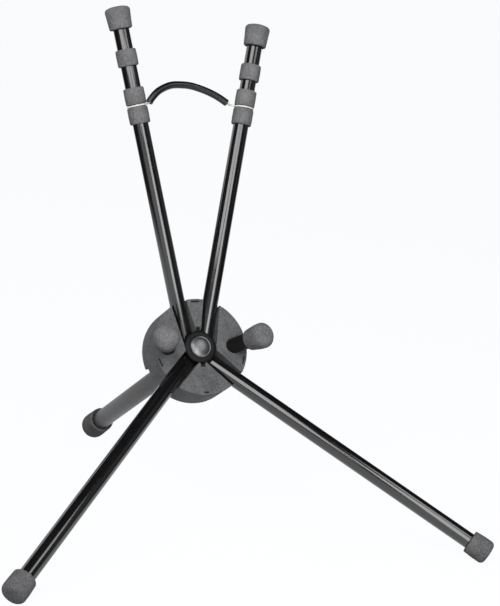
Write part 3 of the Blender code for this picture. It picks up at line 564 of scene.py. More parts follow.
def rod(radius: float, low: float, high: float, sides: int) -> Piece:
    """Add a round bar about Z, to cut with.

    Args:
        radius: Its radius.
        low: Its lower end.
        high: Its upper end.
        sides: Its facets.

    Returns:
        The bar.
    """
    clear_selection()
    bpy.ops.mesh.primitive_cylinder_add(vertices=sides, radius=radius, depth=high - low,
                                        location=(0, 0, (low + high) / 2))
    bpy.ops.object.transform_apply(location=True, rotation=True, scale=True)
    return bpy.context.active_object


def work(piece: Piece, tool: Piece, operation: str = "DIFFERENCE") -> None:
    """Cut a tool from a piece or join it on, and throw the tool away.

    Args:
        piece: The piece that is worked.
        tool: The cutter.
        operation: The Boolean modifier's operation.
    """
    pick(piece)
    step = piece.modifiers.new("work", "BOOLEAN")
    step.operation = operation
    step.solver = "EXACT"
    step.object = tool
    bpy.ops.object.modifier_apply(modifier=step.name)
    bpy.data.objects.remove(tool, do_unlink=True)


def ease_edges(piece: Piece, wanted: Callable[[bmesh.types.BMEdge], bool], width: float, segments: int = 3) -> None:
    """Round the edges that a test picks out.

    Args:
        piece: The piece.
        wanted: Says whether an edge is rounded.
        width: The rounding's width.
        segments: Its facets.
    """
    pick(piece)
    bpy.ops.object.mode_set(mode="EDIT")
    bpy.ops.mesh.select_mode(type="EDGE")
    bpy.ops.mesh.select_all(action="DESELECT")
    shape = bmesh.from_edit_mesh(piece.data)
    for edge in shape.edges:
        if len(edge.link_faces) == 2 and wanted(edge):
            edge.select_set(True)
    bmesh.update_edit_mesh(piece.data)
    bpy.ops.mesh.bevel(offset=width, offset_type="OFFSET", segments=segments, profile=0.5, affect="EDGES",
                       clamp_overlap=True)
    bpy.ops.object.mode_set(mode="OBJECT")


def sharp_edge(edge: bmesh.types.BMEdge) -> bool:
    """Whether an edge turns by more than about 50 degrees."""
    return edge.calc_face_angle(0.0) > math.radians(50)


def slice_off(piece: Piece, point: Iterable[float], normal: Iterable[float]) -> None:
    """Cut away what lies behind a plane and close the cut.

    Args:
        piece: The piece.
        point: A point of the plane.
        normal: Points to the side that stays.
    """
    pick(piece)
    bpy.ops.object.mode_set(mode="EDIT")
    bpy.ops.mesh.select_all(action="SELECT")
    bpy.ops.mesh.bisect(plane_co=tuple(point), plane_no=tuple(normal), use_fill=True, clear_inner=True)
    bpy.ops.object.mode_set(mode="OBJECT")


def smooth_route(points: list[Vector], spacing: float) -> list[Vector]:
    """Points along a smooth curve through the given ones, a set distance apart.

    Args:
        points: Points on the curve.
        spacing: Distance between the new points.

    Returns:
        The new points, the first and the last as given.
    """
    ends = [2 * points[0] - points[1]] + points + [2 * points[-1] - points[-2]]
    route = [points[0]]
    for k in range(1, len(ends) - 2):
        before, start, stop, after = ends[k - 1:k + 3]
        steps = max(1, round((stop - start).length / spacing))
        for j in range(1, steps + 1):
            t = j / steps
            bend = 2 * before - 5 * start + 4 * stop - after
            twist = -before + 3 * start - 3 * stop + after
            route.append((2 * start + (stop - before) * t + bend * t * t + twist * t ** 3) / 2)
    return route


def cord_mesh(name: str, points: list[Vector], radius: float, facets: int, cyclic: bool = False,
              caps: bool = True) -> Piece:
    """A round cord along points, as a mesh.

    Args:
        name: The piece's name.
        points: The cord's centreline.
        radius: The cord's radius.
        facets: Bevel resolution of the round section.
        cyclic: Whether the cord closes on itself.
        caps: Whether its ends are closed.

    Returns:
        The cord.
    """
    curve = bpy.data.curves.new(name, "CURVE")
    curve.dimensions = "3D"
    curve.bevel_depth = radius
    curve.bevel_resolution = facets
    curve.use_fill_caps = caps
    spline = curve.splines.new("POLY")
    spline.points.add(len(points) - 1)
    for point, place in zip(spline.points, points):
        point.co = (*place, 1.0)
    spline.use_cyclic_u = cyclic
    cord = bpy.data.objects.new(name, curve)
    bpy.context.scene.collection.objects.link(cord)
    pick(cord)
    bpy.ops.object.convert(target="MESH")
    return bpy.context.active_object


def twisted_string(name: str, points: list[Vector], radius: float, pitch: float, cyclic: bool = False) -> Piece:
    """A string of three strands laid round each other.

    Args:
        name: The piece's name.
        points: The string's centreline, closely spaced.
        radius: The whole string's radius.
        pitch: Length of one full twist.
        cyclic: Whether the string closes on itself.

    Returns:
        The string.
    """
    strand = radius * 0.52
    reach = radius - strand
    count = len(points)
    tangents = []
    for k in range(count):
        ahead = points[(k + 1) % count] if cyclic or k < count - 1 else points[k]
        behind = points[k - 1] if cyclic or k > 0 else points[k]
        tangents.append((ahead - behind).normalized())
    normal = tangents[0].orthogonal().normalized()
    frames = []
    for k in range(count):
        normal = (normal - tangents[k] * normal.dot(tangents[k])).normalized()
        frames.append((normal, tangents[k].cross(normal)))
    travelled = [0.0]
    for here, onward in zip(points, points[1:]):
        travelled.append(travelled[-1] + (onward - here).length)
    whole = travelled[-1] + (points[-1] - points[0]).length
    turn = 2 * math.pi * (round(whole / pitch) / whole if cyclic else 1 / pitch)
    strands = []
    for phase in range(3):
        route = []
        for k in range(count):
            angle = turn * travelled[k] + 2 * math.pi * phase / 3
            across, over = frames[k]
            route.append(points[k] + (across * math.cos(angle) + over * math.sin(angle)) * reach)
        strands.append(cord_mesh(f"{name}_{phase}", route, strand, 2, cyclic))
    clear_selection()
    for piece in strands:
        piece.select_set(True)
    bpy.context.view_layer.objects.active = strands[0]
    bpy.ops.object.join()
    whole_string = bpy.context.active_object
    whole_string.name = whole_string.data.name = name
    bpy.ops.object.shade_smooth()
    return whole_string


def copy_of(piece: Piece, name: str) -> Piece:
    """Copy a piece with its own mesh.

    Args:
        piece: The piece to copy.
        name: The copy's name.

    Returns:
        The copy.
    """
    twin = piece.copy()
    twin.data = piece.data.copy()
    twin.name = twin.data.name = name
    bpy.context.scene.collection.objects.link(twin)
    return twin


@dataclass
class SubAssembly:
    """Base of the stand's sub-assemblies: a wardrobe to dress from and a body to ride on."""

    wardrobe: Wardrobe
    body: str

    def hand_over(self, piece: Piece, slot: Slot, *nodes: str, variant: str = "") -> Piece:
        """Dress a finished piece, let it stand for CAD nodes and put it on its body.

        Args:
            piece: The finished piece.
            slot: The slot of its finish.
            nodes: CAD nodes that it replaces.
            variant: A variant of the slot's finish.

        Returns:
            The piece.
        """
        self.wardrobe.dress(piece, slot, variant)
        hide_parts(*nodes)
        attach(piece, self.body)
        LOG.info("%s: %d faces, for %s", piece.name, len(piece.data.polygons), ", ".join(nodes) or "no node")
        return piece


@dataclass
class Limb(SubAssembly):
    """A tube with the rivet that holds its hinge end."""

    azimuth: float
    offset: float
    reach: float
    rubber_floor: float = 0.0030
    tube_wall: float = 0.0012
    tongue_slot_half_width: float = 0.0041
    tongue_slot_end: float = 0.0173
    rivet_radius: float = 0.0015
    rivet_station: float = 0.0300

    @property
    def axis(self) -> Matrix:
        """The tube's frame."""
        return limb_axis_frame(self.azimuth, self.offset)

    def build_tube(self) -> None:
        """The painted tube, with rolled ends and a slot for the hinge tongue."""
        end = self.reach - self.rubber_floor - GAP
        bore = TUBE_RADIUS - self.tube_wall
        edge = self.tube_wall * 0.35
        corners = [(bore, end, edge), (TUBE_RADIUS, end, edge), (TUBE_RADIUS, TUBE_START, edge),
                   (bore, TUBE_START, edge)]
        tube = turned(f"{self.body}_painted_tube", corners, Matrix(), closed=True, steps=64, arc_steps=3)
        half = self.tongue_slot_half_width
        work(tube, block((-half, -PAST, -PAST), (half, -TUBE_RADIUS / 2, self.tongue_slot_end)))
        seat(tube, self.axis)
        smooth(tube)
        self.hand_over(tube, Slot.GLOSS_BLACK, f"{self.body}_tube")

    def build_rivet(self) -> None:
        """The domed rivet behind the tube."""
        top = TUBE_RADIUS + GAP
        radius = self.rivet_radius
        corners = [(0, top + radius * 0.7, 0), (radius, top + radius * 0.6, 0.0005),
                   (2 * radius - GAP, top + radius * 0.1, 0.0003), (2 * radius - GAP, top, 0), (radius, top, 0),
                   (radius, TUBE_RADIUS / 2, 0), (0, TUBE_RADIUS / 2, 0)]
        place = Matrix.Translation((0, 0, TUBE_START + self.rivet_station)) @ Matrix.Rotation(math.pi / 2, 4, "X")
        rivet = turned(f"{self.body}_domed_rivet", corners, self.axis @ place, steps=32)
        self.hand_over(rivet, Slot.ZINC_STEEL, f"{self.body}_rivet")

    def build(self) -> None:
        """Build the tube and its rivet."""
        self.build_tube()
        self.build_rivet()
        self.wardrobe.dress_node(f"{self.body}_knuckle", Slot.BLACK_PLASTIC)


@dataclass
class Leg(Limb):
    """A front leg: the limb and its rubber foot."""

    foot_radius: float = 0.0122
    foot_length: float = 0.0230
    foot_edge: float = 0.0048
    foot_taper: float = 0.0006
    mouth_flare: float = 0.0007
    mouth_depth: float = 0.0016

    def build_foot(self) -> None:
        """The rubber foot, cut flat where it stands."""
        tip, low = self.reach, self.reach - self.foot_length
        socket = TUBE_RADIUS + GAP
        mouth = self.foot_radius - self.foot_taper
        corners = [(0, tip, 0), (self.foot_radius * 0.4, tip - 0.0002, 0.004),
                   (self.foot_radius, tip - 0.0009, self.foot_edge), (self.foot_radius, tip - 0.0130, 0.02),
                   (mouth, low, 0.0011), (socket + self.mouth_flare, low, 0.0004),
                   (socket + self.mouth_flare, low + self.mouth_depth, 0), (socket, low + self.mouth_depth, 0),
                   (socket, tip - self.rubber_floor, 0), (0, tip - self.rubber_floor, 0)]
        foot = turned(f"{self.body}_rubber_foot", corners, self.axis, steps=80)
        slice_off(foot, (0, 0, 0), (0, 0, 1))
        smooth(foot)
        self.hand_over(foot, Slot.GREY_RUBBER, f"{self.body}_foot", variant="_foot")

    def build(self) -> None:
        """Build the leg."""
        super().build()
        self.build_foot()


@dataclass
class Arm(Limb):
    """An arm: the limb, its end cap, three rubber rings and the string tied round it."""

    cap_lift: float = 0.0
    ring_stations: tuple[float, float] = (0.0, 0.0)
    cap_belly: float = 0.0130
    cap_mouth: float = 0.0115
    cap_length: float = 0.0230
    ring_radius: float = 0.0105
    ring_length: float = 0.0169
    ring_edge: float = 0.0014
    ring_crown: float = 0.0002
    loop_width: float = 0.0018
    string_radius: float = 0.0009
    string_pitch: float = 0.0040

    @property
    def loop_station(self) -> float:
        """Where the string goes round the tube, along the arm."""
        return self.ring_stations[1] - self.ring_length / 2 - GAP - self.loop_width / 2

    def build_cap(self) -> None:
        """The rubber cap, widest just under its rounded top."""
        tip = self.reach + self.cap_lift
        low = tip - self.cap_length
        socket = TUBE_RADIUS + GAP
        corners = [(0, tip, 0), (self.cap_belly * 0.55, tip - 0.0006, 0.010), (self.cap_belly, tip - 0.0024, 0.0036),
                   ((self.cap_belly + self.cap_mouth) / 2, (tip + low) / 2, 0.05), (self.cap_mouth, low, 0.0016),
                   (socket + 0.0004, low, 0.0002), (socket, low + 0.0012, 0), (socket, tip - self.rubber_floor, 0),
                   (0, tip - self.rubber_floor, 0)]
        cap = turned(f"{self.body}_rubber_cap", corners, self.axis, steps=80)
        self.hand_over(cap, Slot.GREY_RUBBER, f"{self.body}_cap")

    def build_rings(self) -> None:
        """The three rings, the lower one just under the string."""
        upper, middle = self.ring_stations
        lower = self.loop_station - self.loop_width / 2 - GAP - self.ring_length / 2
        half, socket = self.ring_length / 2, TUBE_RADIUS + GAP
        rim = self.ring_radius - self.ring_crown
        corners = [(socket, half, 0.0004), (rim, half, self.ring_edge), (self.ring_radius, 0, 0.05),
                   (rim, -half, self.ring_edge), (socket, -half, 0.0004)]
        model = turned(f"{self.body}_ring_model", corners, Matrix(), closed=True, steps=80)
        for word, station in (("upper", upper), ("middle", middle), ("lower", lower)):
            ring = copy_of(model, f"{self.body}_rubber_ring_{word}")
            seat(ring, self.axis @ Matrix.Translation((0, 0, station)))
            self.hand_over(ring, Slot.GREY_RUBBER, f"{self.body}_ring_{word}")
        bpy.data.objects.remove(model, do_unlink=True)

    def build_loop(self) -> None:
        """The twisted string tied round the tube between two rings."""
        around = TUBE_RADIUS + GAP + self.string_radius
        count = 180
        angles = [2 * math.pi * k / count for k in range(count)]
        points = [self.axis @ Vector((around * math.cos(a), around * math.sin(a), self.loop_station)) for a in angles]
        loop = twisted_string(f"{self.body}_string_band", points, self.string_radius, self.string_pitch, cyclic=True)
        self.hand_over(loop, Slot.WHITE_STRING, f"cord_loop_{self.body.split('_')[1]}")

    def build(self) -> None:
        """Build the arm."""
        super().build()
        self.build_cap()
        self.build_rings()
        self.build_loop()


@dataclass
class HingeHead(SubAssembly):
    """The slotted head: front shell, back cover, hub cap, badge, pegs and screws."""

    radius: float = 0.0500
    depth: float = 0.0360
    cover_thickness: float = 0.0017
    floor_top: float = -0.01377
    slot_half_width: float = 0.0089
    fold_radius: float = 0.02865
    rim_rounding: float = 0.0010
    slot_rounding: float = 0.0011
    facets: int = 144
    snap_half_widths: dict[float, float] = field(
        default_factory=lambda: {-109.0: 0.0046, 0.0: 0.0046, 109.0: 0.0046, 180.0: 0.0026})
    snap_inner: float = 0.0465
    snap_outer: float = 0.0482
    snap_depth: float = 0.0060
    notch_half_width: float = 0.0026
    notch_reach: float = 0.0211
    well_radius: float = 0.0175
    step_start: float = 105.6
    step_end: float = 133.0
    step_radius: float = 0.0467
    step_height: float = 0.0080
    cap_radius: float = 0.0165
    cap_thickness: float = 0.0036
    badge_radius: float = 0.0110
    badge_dome: float = 0.0016
    peg_spread: float = 0.0360
    peg_direction: tuple[float, float, float] = (0.381, -0.011, 0.925)
    peg_length: float = 0.0500
    peg_radius: float = 0.0080
    collar_bore: float = 0.0107
    collar_wall: float = 0.0026
    collar_length: float = 0.0220
    screw_radius: float = 0.0015
    screw_circle: float = 0.0415
    screw_azimuths: dict[str, float] = field(
        default_factory=lambda: {"top": 0.0, "right": 62.0, "bottom": 180.0, "left": -62.0})
    limbs: tuple[tuple[float, float], ...] = (
        (-ARM_AZIMUTH, -ARM_OFFSET), (ARM_AZIMUTH, ARM_OFFSET), (-LEG_AZIMUTH, 0.0), (LEG_AZIMUTH, 0.0))

    @property
    def face(self) -> float:
        """Height of the head's face."""
        return self.depth / 2

    @property
    def back(self) -> float:
        """Height of the cover's back."""
        return -self.depth / 2

    def fold_cutter(self) -> Piece:
        """The round-ended slot that a limb swings through, drawn along Y.

        Returns:
            The cutter.
        """
        half = self.slot_half_width
        tool = block((-half, self.fold_radius - half, -PAST), (half, self.radius + PAST, PAST))
        inner = self.fold_radius - half
        ease_edges(tool, lambda edge: all(abs(vert.co.y - inner) < 1e-6 for vert in edge.verts)
                   and abs(edge.verts[0].co.z - edge.verts[1].co.z) > PAST, half * 0.999, 16)
        return tool

    def slot_cutter(self) -> Piece:
        """The whole of one limb's slot: the trough it lies in and the slot it swings through.

        Returns:
            The cutter.
        """
        half = self.slot_half_width
        tool = block((-half, 0, self.floor_top), (half, self.radius + PAST, PAST))
        work(tool, self.fold_cutter(), "UNION")
        return tool

    def step_cutter(self, side: Side) -> Piece:
        """A part of a ring that steps in the lower rear rim on one side.

        Args:
            side: The side of the head.

        Returns:
            The cutter.
        """
        outside, low, top = self.radius + PAST, self.back - PAST, self.back + self.step_height
        corners = [(self.step_radius, low, 0), (outside, low, 0), (outside, top, 0), (self.step_radius, top, 0)]
        tool = turned("rim_step", corners, Matrix(), closed=True, steps=self.facets)
        for degrees, keep in ((self.step_start, 1), (self.step_end, -1)):
            azimuth = math.radians(degrees) * side.value
            across = azimuth_frame(azimuth).to_3x3() @ Vector((keep * side.value, 0, 0))
            slice_off(tool, (0, 0, 0), across)
        return tool

    def build_shell(self) -> None:
        """The front shell: four sectors between the slots, with eased front edges."""
        low = self.back + self.cover_thickness + GAP
        shell = rod(self.radius, low, self.face, self.facets)
        shell.name = shell.data.name = "slotted_head_shell"
        work(shell, rod(self.cap_radius + 2 * GAP, self.floor_top, PAST, 72))
        for azimuth, offset in self.limbs:
            tool = self.slot_cutter()
            seat(tool, azimuth_frame(azimuth, offset))
            work(shell, tool)
        for side in Side:
            work(shell, self.step_cutter(side))
        for degrees, half in self.snap_half_widths.items():
            tool = block((-half, self.snap_inner, self.face - self.snap_depth), (half, self.snap_outer, PAST))
            seat(tool, azimuth_frame(math.radians(degrees)))
            work(shell, tool)
        for turn in (0.0, math.pi):
            tool = block((-self.notch_half_width, 0, self.floor_top), (self.notch_half_width, self.notch_reach, PAST))
            seat(tool, azimuth_frame(turn))
            work(shell, tool)
        face, rim, well = self.face, self.radius - 0.0002, self.well_radius

        def front_edge(edge: bmesh.types.BMEdge) -> bool:
            """Whether an edge bounds the face, away from the hidden well."""
            return sharp_edge(edge) and all(abs(vert.co.z - face) < 1e-6 and vert.co.xy.length > well
                                            for vert in edge.verts)

        def mouth_edge(edge: bmesh.types.BMEdge) -> bool:
            """Whether an edge runs down the rim beside a slot."""
            return (sharp_edge(edge) and all(vert.co.xy.length > rim for vert in edge.verts)
                    and abs(edge.verts[0].co.z - edge.verts[1].co.z) > 0.004)

        ease_edges(shell, lambda edge: front_edge(edge) or mouth_edge(edge), self.slot_rounding)
        seat(shell, HEAD_FRAME)
        smooth(shell, 38.0)
        self.hand_over(shell, Slot.HEAD_PLASTIC, "head_body")

    def build_cover(self) -> None:
        """The back cover with the collar that holds the rear leg."""
        bore = self.collar_bore
        collar, foot = bore + self.collar_wall, self.back - self.collar_length
        corners = [(0.0033, self.back + self.cover_thickness, 0), (self.radius, self.back + self.cover_thickness, 0),
                   (self.radius, self.back, 0.0008), (collar + 0.0002, self.back, 0.0016), (collar, foot, 0.0009),
                   (bore, foot, 0.0004), (bore, self.back, 0), (0.0033, self.back, 0)]
        cover = turned("back_cover_with_collar", corners, Matrix(), closed=True, steps=self.facets, arc_steps=4)
        for azimuth, offset in self.limbs:
            tool = self.fold_cutter()
            seat(tool, azimuth_frame(azimuth, offset))
            work(cover, tool)
        for side in Side:
            work(cover, self.step_cutter(side))
        for degrees in self.screw_azimuths.values():
            tool = rod(self.screw_radius + GAP, -PAST, 0, 24)
            seat(tool, azimuth_frame(math.radians(degrees)) @ Matrix.Translation((0, self.screw_circle, 0)))
            work(cover, tool)
        seat(cover, HEAD_FRAME)
        smooth(cover, 38.0)
        self.hand_over(cover, Slot.HEAD_PLASTIC, "back_cover")

    def screw(self, name: str, length: float) -> Piece:
        """A pan-head screw with a cross recess, its head up and its shank down from zero.

        Args:
            name: The screw's name.
            length: Length of its shank.

        Returns:
            The screw.
        """
        radius = self.screw_radius
        corners = [(0, radius * 1.05, 0), (radius * 1.5, radius * 0.9, 0.001), (2 * radius, radius * 0.2, 0.0003),
                   (2 * radius, 0, 0), (radius, 0, 0), (radius, -length, 0.0003), (0, -length, 0)]
        made = turned(name, corners, Matrix(), steps=32)
        for turn in (0.0, math.pi / 2):
            tool = block((-0.0016, -0.0003, radius * 0.35), (0.0016, 0.0003, PAST))
            seat(tool, Matrix.Rotation(turn, 4, "Z"))
            work(made, tool)
        return made

    def build_screws(self) -> None:
        """The screws that show: four in the cover and one under the collar."""
        model = self.screw("cover_screw_model", 0.0130)
        for word, degrees in self.screw_azimuths.items():
            screw = copy_of(model, f"cover_screw_{word}")
            place = azimuth_frame(math.radians(degrees)) @ Matrix.Translation((0, self.screw_circle, self.back - GAP))
            seat(screw, HEAD_FRAME @ place @ Matrix.Rotation(math.pi, 4, "X"))
            smooth(screw)
            self.hand_over(screw, Slot.ZINC_STEEL, f"shell_screw_{word}")
        bpy.data.objects.remove(model, do_unlink=True)
        top = 0.0104 + self.collar_wall + 2 * GAP
        screw = self.screw("rear_leg_cross_screw", top - 0.0042)
        place = Matrix.Translation((0, 0, self.back - 0.0100)) @ Matrix.Rotation(math.pi / 2, 4, "X")
        seat(screw, HEAD_FRAME @ place @ Matrix.Translation((0, 0, top)))
        smooth(screw)
        self.hand_over(screw, Slot.ZINC_STEEL, "rear_leg_screw")

    def build_cap(self) -> None:
        """The hub cap with a shallow recess, and the plain domed badge in it."""
        top = self.face - GAP / 2
        under = top - self.cap_thickness
        recess = self.badge_radius + GAP
        corners = [(0, top - 0.0012, 0), (recess, top - 0.0012, 0), (recess, top - 0.0002, 0.0002),
                   (recess + 0.0009, top, 0.0003), (self.cap_radius - 0.0016, top - 0.0001, 0.002),
                   (self.cap_radius, top - 0.0014, 0.0007), (self.cap_radius, under, 0.0002),
                   (0.0049, under, 0), (0.0049, 0.0086, 0), (0, 0.0086, 0)]
        cap = turned("round_hub_cap", corners, HEAD_FRAME, steps=96)
        self.hand_over(cap, Slot.BLACK_PLASTIC, "hub_cap")
        rim, dome, wide = top + GAP, self.badge_dome, self.badge_radius
        corners = [(0, rim + dome, 0), (wide * 0.45, rim + dome * 0.8, 0.02), (wide * 0.84, rim + dome * 0.30, 0.006),
                   (wide * 0.86, rim + dome * 0.18, 0.0002), (wide * 0.90, rim + dome * 0.18, 0.0002),
                   (wide * 0.93, rim + dome * 0.30, 0.0003), (wide, rim - 0.0001, 0.0003), (wide, top - 0.0009, 0),
                   (0, top - 0.0009, 0)]
        badge = turned("plain_domed_badge", corners, HEAD_FRAME, steps=96)
        self.hand_over(badge, Slot.GLOSS_BLACK, "cap_badge", variant="_satin")

    def build_peg(self, side: Side) -> None:
        """One peg for the bell: a stem cut flush with the face, and a rubber cap.

        Args:
            side: The side of the head.
        """
        out, up, forward = self.peg_direction
        direction = Vector((side.value * out, up, forward)).normalized()
        turn = direction.to_track_quat("Z", "Y").to_matrix().to_4x4()
        place = Matrix.Translation((side.value * self.peg_spread, 0, self.face)) @ turn
        floor, tip, radius = 0.0030, self.peg_length, self.peg_radius
        corners = [(0, tip - floor - GAP, 0), (radius, tip - floor - GAP, 0.0006), (radius, 0.0060, 0.02),
                   (radius, -radius, 0), (0, -radius, 0)]
        stem = turned(f"peg_{side.word}_stem", corners, place, steps=64)
        slice_off(stem, (0, 0, self.face + GAP), (0, 0, 1))
        seat(stem, HEAD_FRAME)
        smooth(stem)
        self.hand_over(stem, Slot.BLACK_PLASTIC, f"peg_stem_{side.word}")
        low, socket, belly, mouth = tip - 0.0280, radius + GAP, 0.0130, 0.0105
        corners = [(0, tip, 0), (belly * 0.60, tip - 0.0012, 0.010), (belly, tip - 0.0066, 0.0058),
                   (belly * 0.985, tip - 0.0140, 0.03), (mouth, low, 0.0030), (socket + 0.0002, low, 0.0002),
                   (socket, low + 0.0010, 0), (socket, tip - floor, 0), (0, tip - floor, 0)]
        cap = turned(f"peg_{side.word}_rubber_cap", corners, HEAD_FRAME @ place, steps=80)
        self.hand_over(cap, Slot.GREY_RUBBER, f"peg_cap_{side.word}")

    def build(self) -> None:
        """Build the head and dress the CAD pieces that stay inside it."""
        self.build_shell()
        self.build_cover()
        self.build_screws()
        self.build_cap()
        for side in Side:
            self.build_peg(side)
        inside = {"hub": Slot.BLACK_PLASTIC, "rear_leg_plug": Slot.BLACK_PLASTIC, "hub_bolt": Slot.ZINC_STEEL,
                  "hub_nut": Slot.ZINC_STEEL, "peg_screw_left": Slot.ZINC_STEEL, "peg_screw_right": Slot.ZINC_STEEL}
        for limb in ("arm_left", "arm_right", "leg_left", "leg_right"):
            inside[f"hinge_pin_{limb}"] = Slot.ZINC_STEEL
            inside[f"friction_washer_{limb}"] = Slot.BRAKE_FIBRE
        for name, slot in inside.items():
            self.wardrobe.dress_node(name, slot)


@dataclass
class RearLeg(SubAssembly):
    """The fixed rear leg: a wide tube and its rubber foot."""

    reach: float = 0.335882521
    tube_radius: float = 0.0104
    tube_wall: float = 0.0015
    top: float = -0.0183
    foot_radius: float = 0.0145
    foot_length: float = 0.0360
    rubber_floor: float = 0.0030

    def build(self) -> None:
        """Build the tube and the foot."""
        bore, low = self.tube_radius - self.tube_wall, -self.reach + self.rubber_floor + GAP
        corners = [(bore, self.top, 0.0004), (self.tube_radius, self.top, 0.0004), (self.tube_radius, low, 0.0004),
                   (bore, low, 0.0004)]
        tube = turned("rear_leg_painted_tube", corners, HEAD_FRAME, closed=True, steps=80, arc_steps=3)
        self.hand_over(tube, Slot.GREY_PAINT, "rear_leg_tube")
        tip, mouth_end = self.reach, self.reach - self.foot_length
        socket, wide = self.tube_radius + GAP, self.foot_radius
        corners = [(0, tip, 0), (wide * 0.4, tip - 0.0002, 0.005), (wide, tip - 0.0010, 0.0048),
                   (wide, tip - 0.0120, 0.02), (wide - 0.0006, mouth_end, 0.0012), (socket + 0.0013, mouth_end, 0.0005),
                   (socket + 0.0010, mouth_end + 0.0022, 0), (socket, mouth_end + 0.0022, 0),
                   (socket, tip - self.rubber_floor, 0), (0, tip - self.rubber_floor, 0)]
        foot = turned("rear_leg_rubber_foot", corners, HEAD_FRAME @ Matrix.Rotation(math.pi, 4, "X"), steps=80)
        slice_off(foot, (0, 0, 0), (0, 0, 1))
        smooth(foot)
        self.hand_over(foot, Slot.GREY_RUBBER, "rear_foot", variant="_foot")


@dataclass
class SpanCord(SubAssembly):
    """The cord across the arms: a soft hose over a white string, with a knot at one end."""

    sleeve_radius: float = 0.00365
    sleeve_wall: float = 0.0011
    string_radius: float = 0.0011
    string_pitch: float = 0.0045
    string_inside: float = 0.0080
    # The first three points are not the CAD's: the hose starts 1.5 mm off the CAD's route
    sleeve_points: tuple[Corner, ...] = (
        (-0.0451, 0.2395, 0.0715), (-0.0434, 0.2424, 0.0723), (-0.0352, 0.2508, 0.0749), (-0.0226, 0.2568, 0.0766),
        (-0.0104, 0.2579, 0.0770), (0.0017, 0.2570, 0.0767), (0.0171, 0.2528, 0.0755), (0.0294, 0.2477, 0.0740),
        (0.0394, 0.2419, 0.0723))
    left_end: tuple[Corner, ...] = ((-0.0475, 0.2385, 0.0712), (-0.0463, 0.2388, 0.0713))
    right_end: tuple[Corner, ...] = ((0.0425, 0.2406, 0.0720), (0.0479, 0.2394, 0.0716))
    knot_share: float = 0.62
    folded_share: float = 0.03

    def hand_over_soft(self, piece: Piece, slot: Slot, *nodes: str) -> Piece:
        """Hand over a piece and give it a mesh of its own.

        Args:
            piece: The finished piece.
            slot: The slot of its finish.
            nodes: CAD nodes that it replaces.

        Returns:
            The piece.
        """
        self.hand_over(piece, slot, *nodes)
        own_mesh(piece)
        return piece

    def build_sleeve(self, route: list[Vector]) -> Piece:
        """The hose, hollow and cut square at its ends.

        Args:
            route: Its centreline.

        Returns:
            The hose.
        """
        sleeve = cord_mesh("cord_hose", route, self.sleeve_radius, 8, caps=False)
        wall = sleeve.modifiers.new("wall", "SOLIDIFY")
        wall.thickness = self.sleeve_wall
        wall.offset = -1.0
        bpy.ops.object.modifier_apply(modifier=wall.name)
        smooth(sleeve, 50.0)
        return sleeve

    def build_knot(self, centre: Vector, along: Vector) -> Piece:
        """An overhand knot in the string.

        Args:
            centre: The knot's middle.
            along: The string's direction.

        Returns:
            The knot.
        """
        strand = self.string_radius * 0.62
        points = []
        for k in range(72):
            t = 2 * math.pi * k / 72
            points.append(Vector((math.sin(t) + 2 * math.sin(2 * t), math.cos(t) - 2 * math.cos(2 * t),
                                  -1.6 * math.sin(3 * t))) * strand * 0.62)
        turn = along.to_track_quat("Z", "Y").to_matrix().to_4x4()
        knot = cord_mesh("cord_end_knot", points, strand, 4, cyclic=True)
        seat(knot, Matrix.Translation(centre) @ turn)
        pick(knot)
        bpy.ops.object.shade_smooth()
        return knot

    def build(self) -> None:
        hose_points = [HEAD_FRAME @ Vector(p) for p in self.sleeve_points]
        left = [HEAD_FRAME @ Vector(p) for p in self.left_end]
        right = [HEAD_FRAME @ Vector(p) for p in self.right_end]
        route = smooth_route(hose_points, 0.0035)
        sleeve = self.hand_over_soft(self.build_sleeve(route), Slot.SLEEVE_RUBBER, "cord_sleeve")
        threads = smooth_route(left + hose_points + right, 0.0007)
        inside = self.string_inside
        first = [p for p in threads if (p - left[0]).length < (hose_points[0] - left[0]).length + inside]
        last = [p for p in threads if (p - right[-1]).length < (hose_points[-1] - right[-1]).length + inside]
        string_left = self.hand_over_soft(
            twisted_string("cord_end_string_left", first, self.string_radius, self.string_pitch), Slot.WHITE_STRING,
            "cord_string_left")
        string_right = self.hand_over_soft(
            twisted_string("cord_end_string_right", last, self.string_radius, self.string_pitch), Slot.WHITE_STRING,
            "cord_string_right")
        centre = hose_points[-1].lerp(right[-1], 1 - self.knot_share)
        knot = self.hand_over_soft(self.build_knot(centre, right[-1] - hose_points[-1]), Slot.WHITE_STRING)


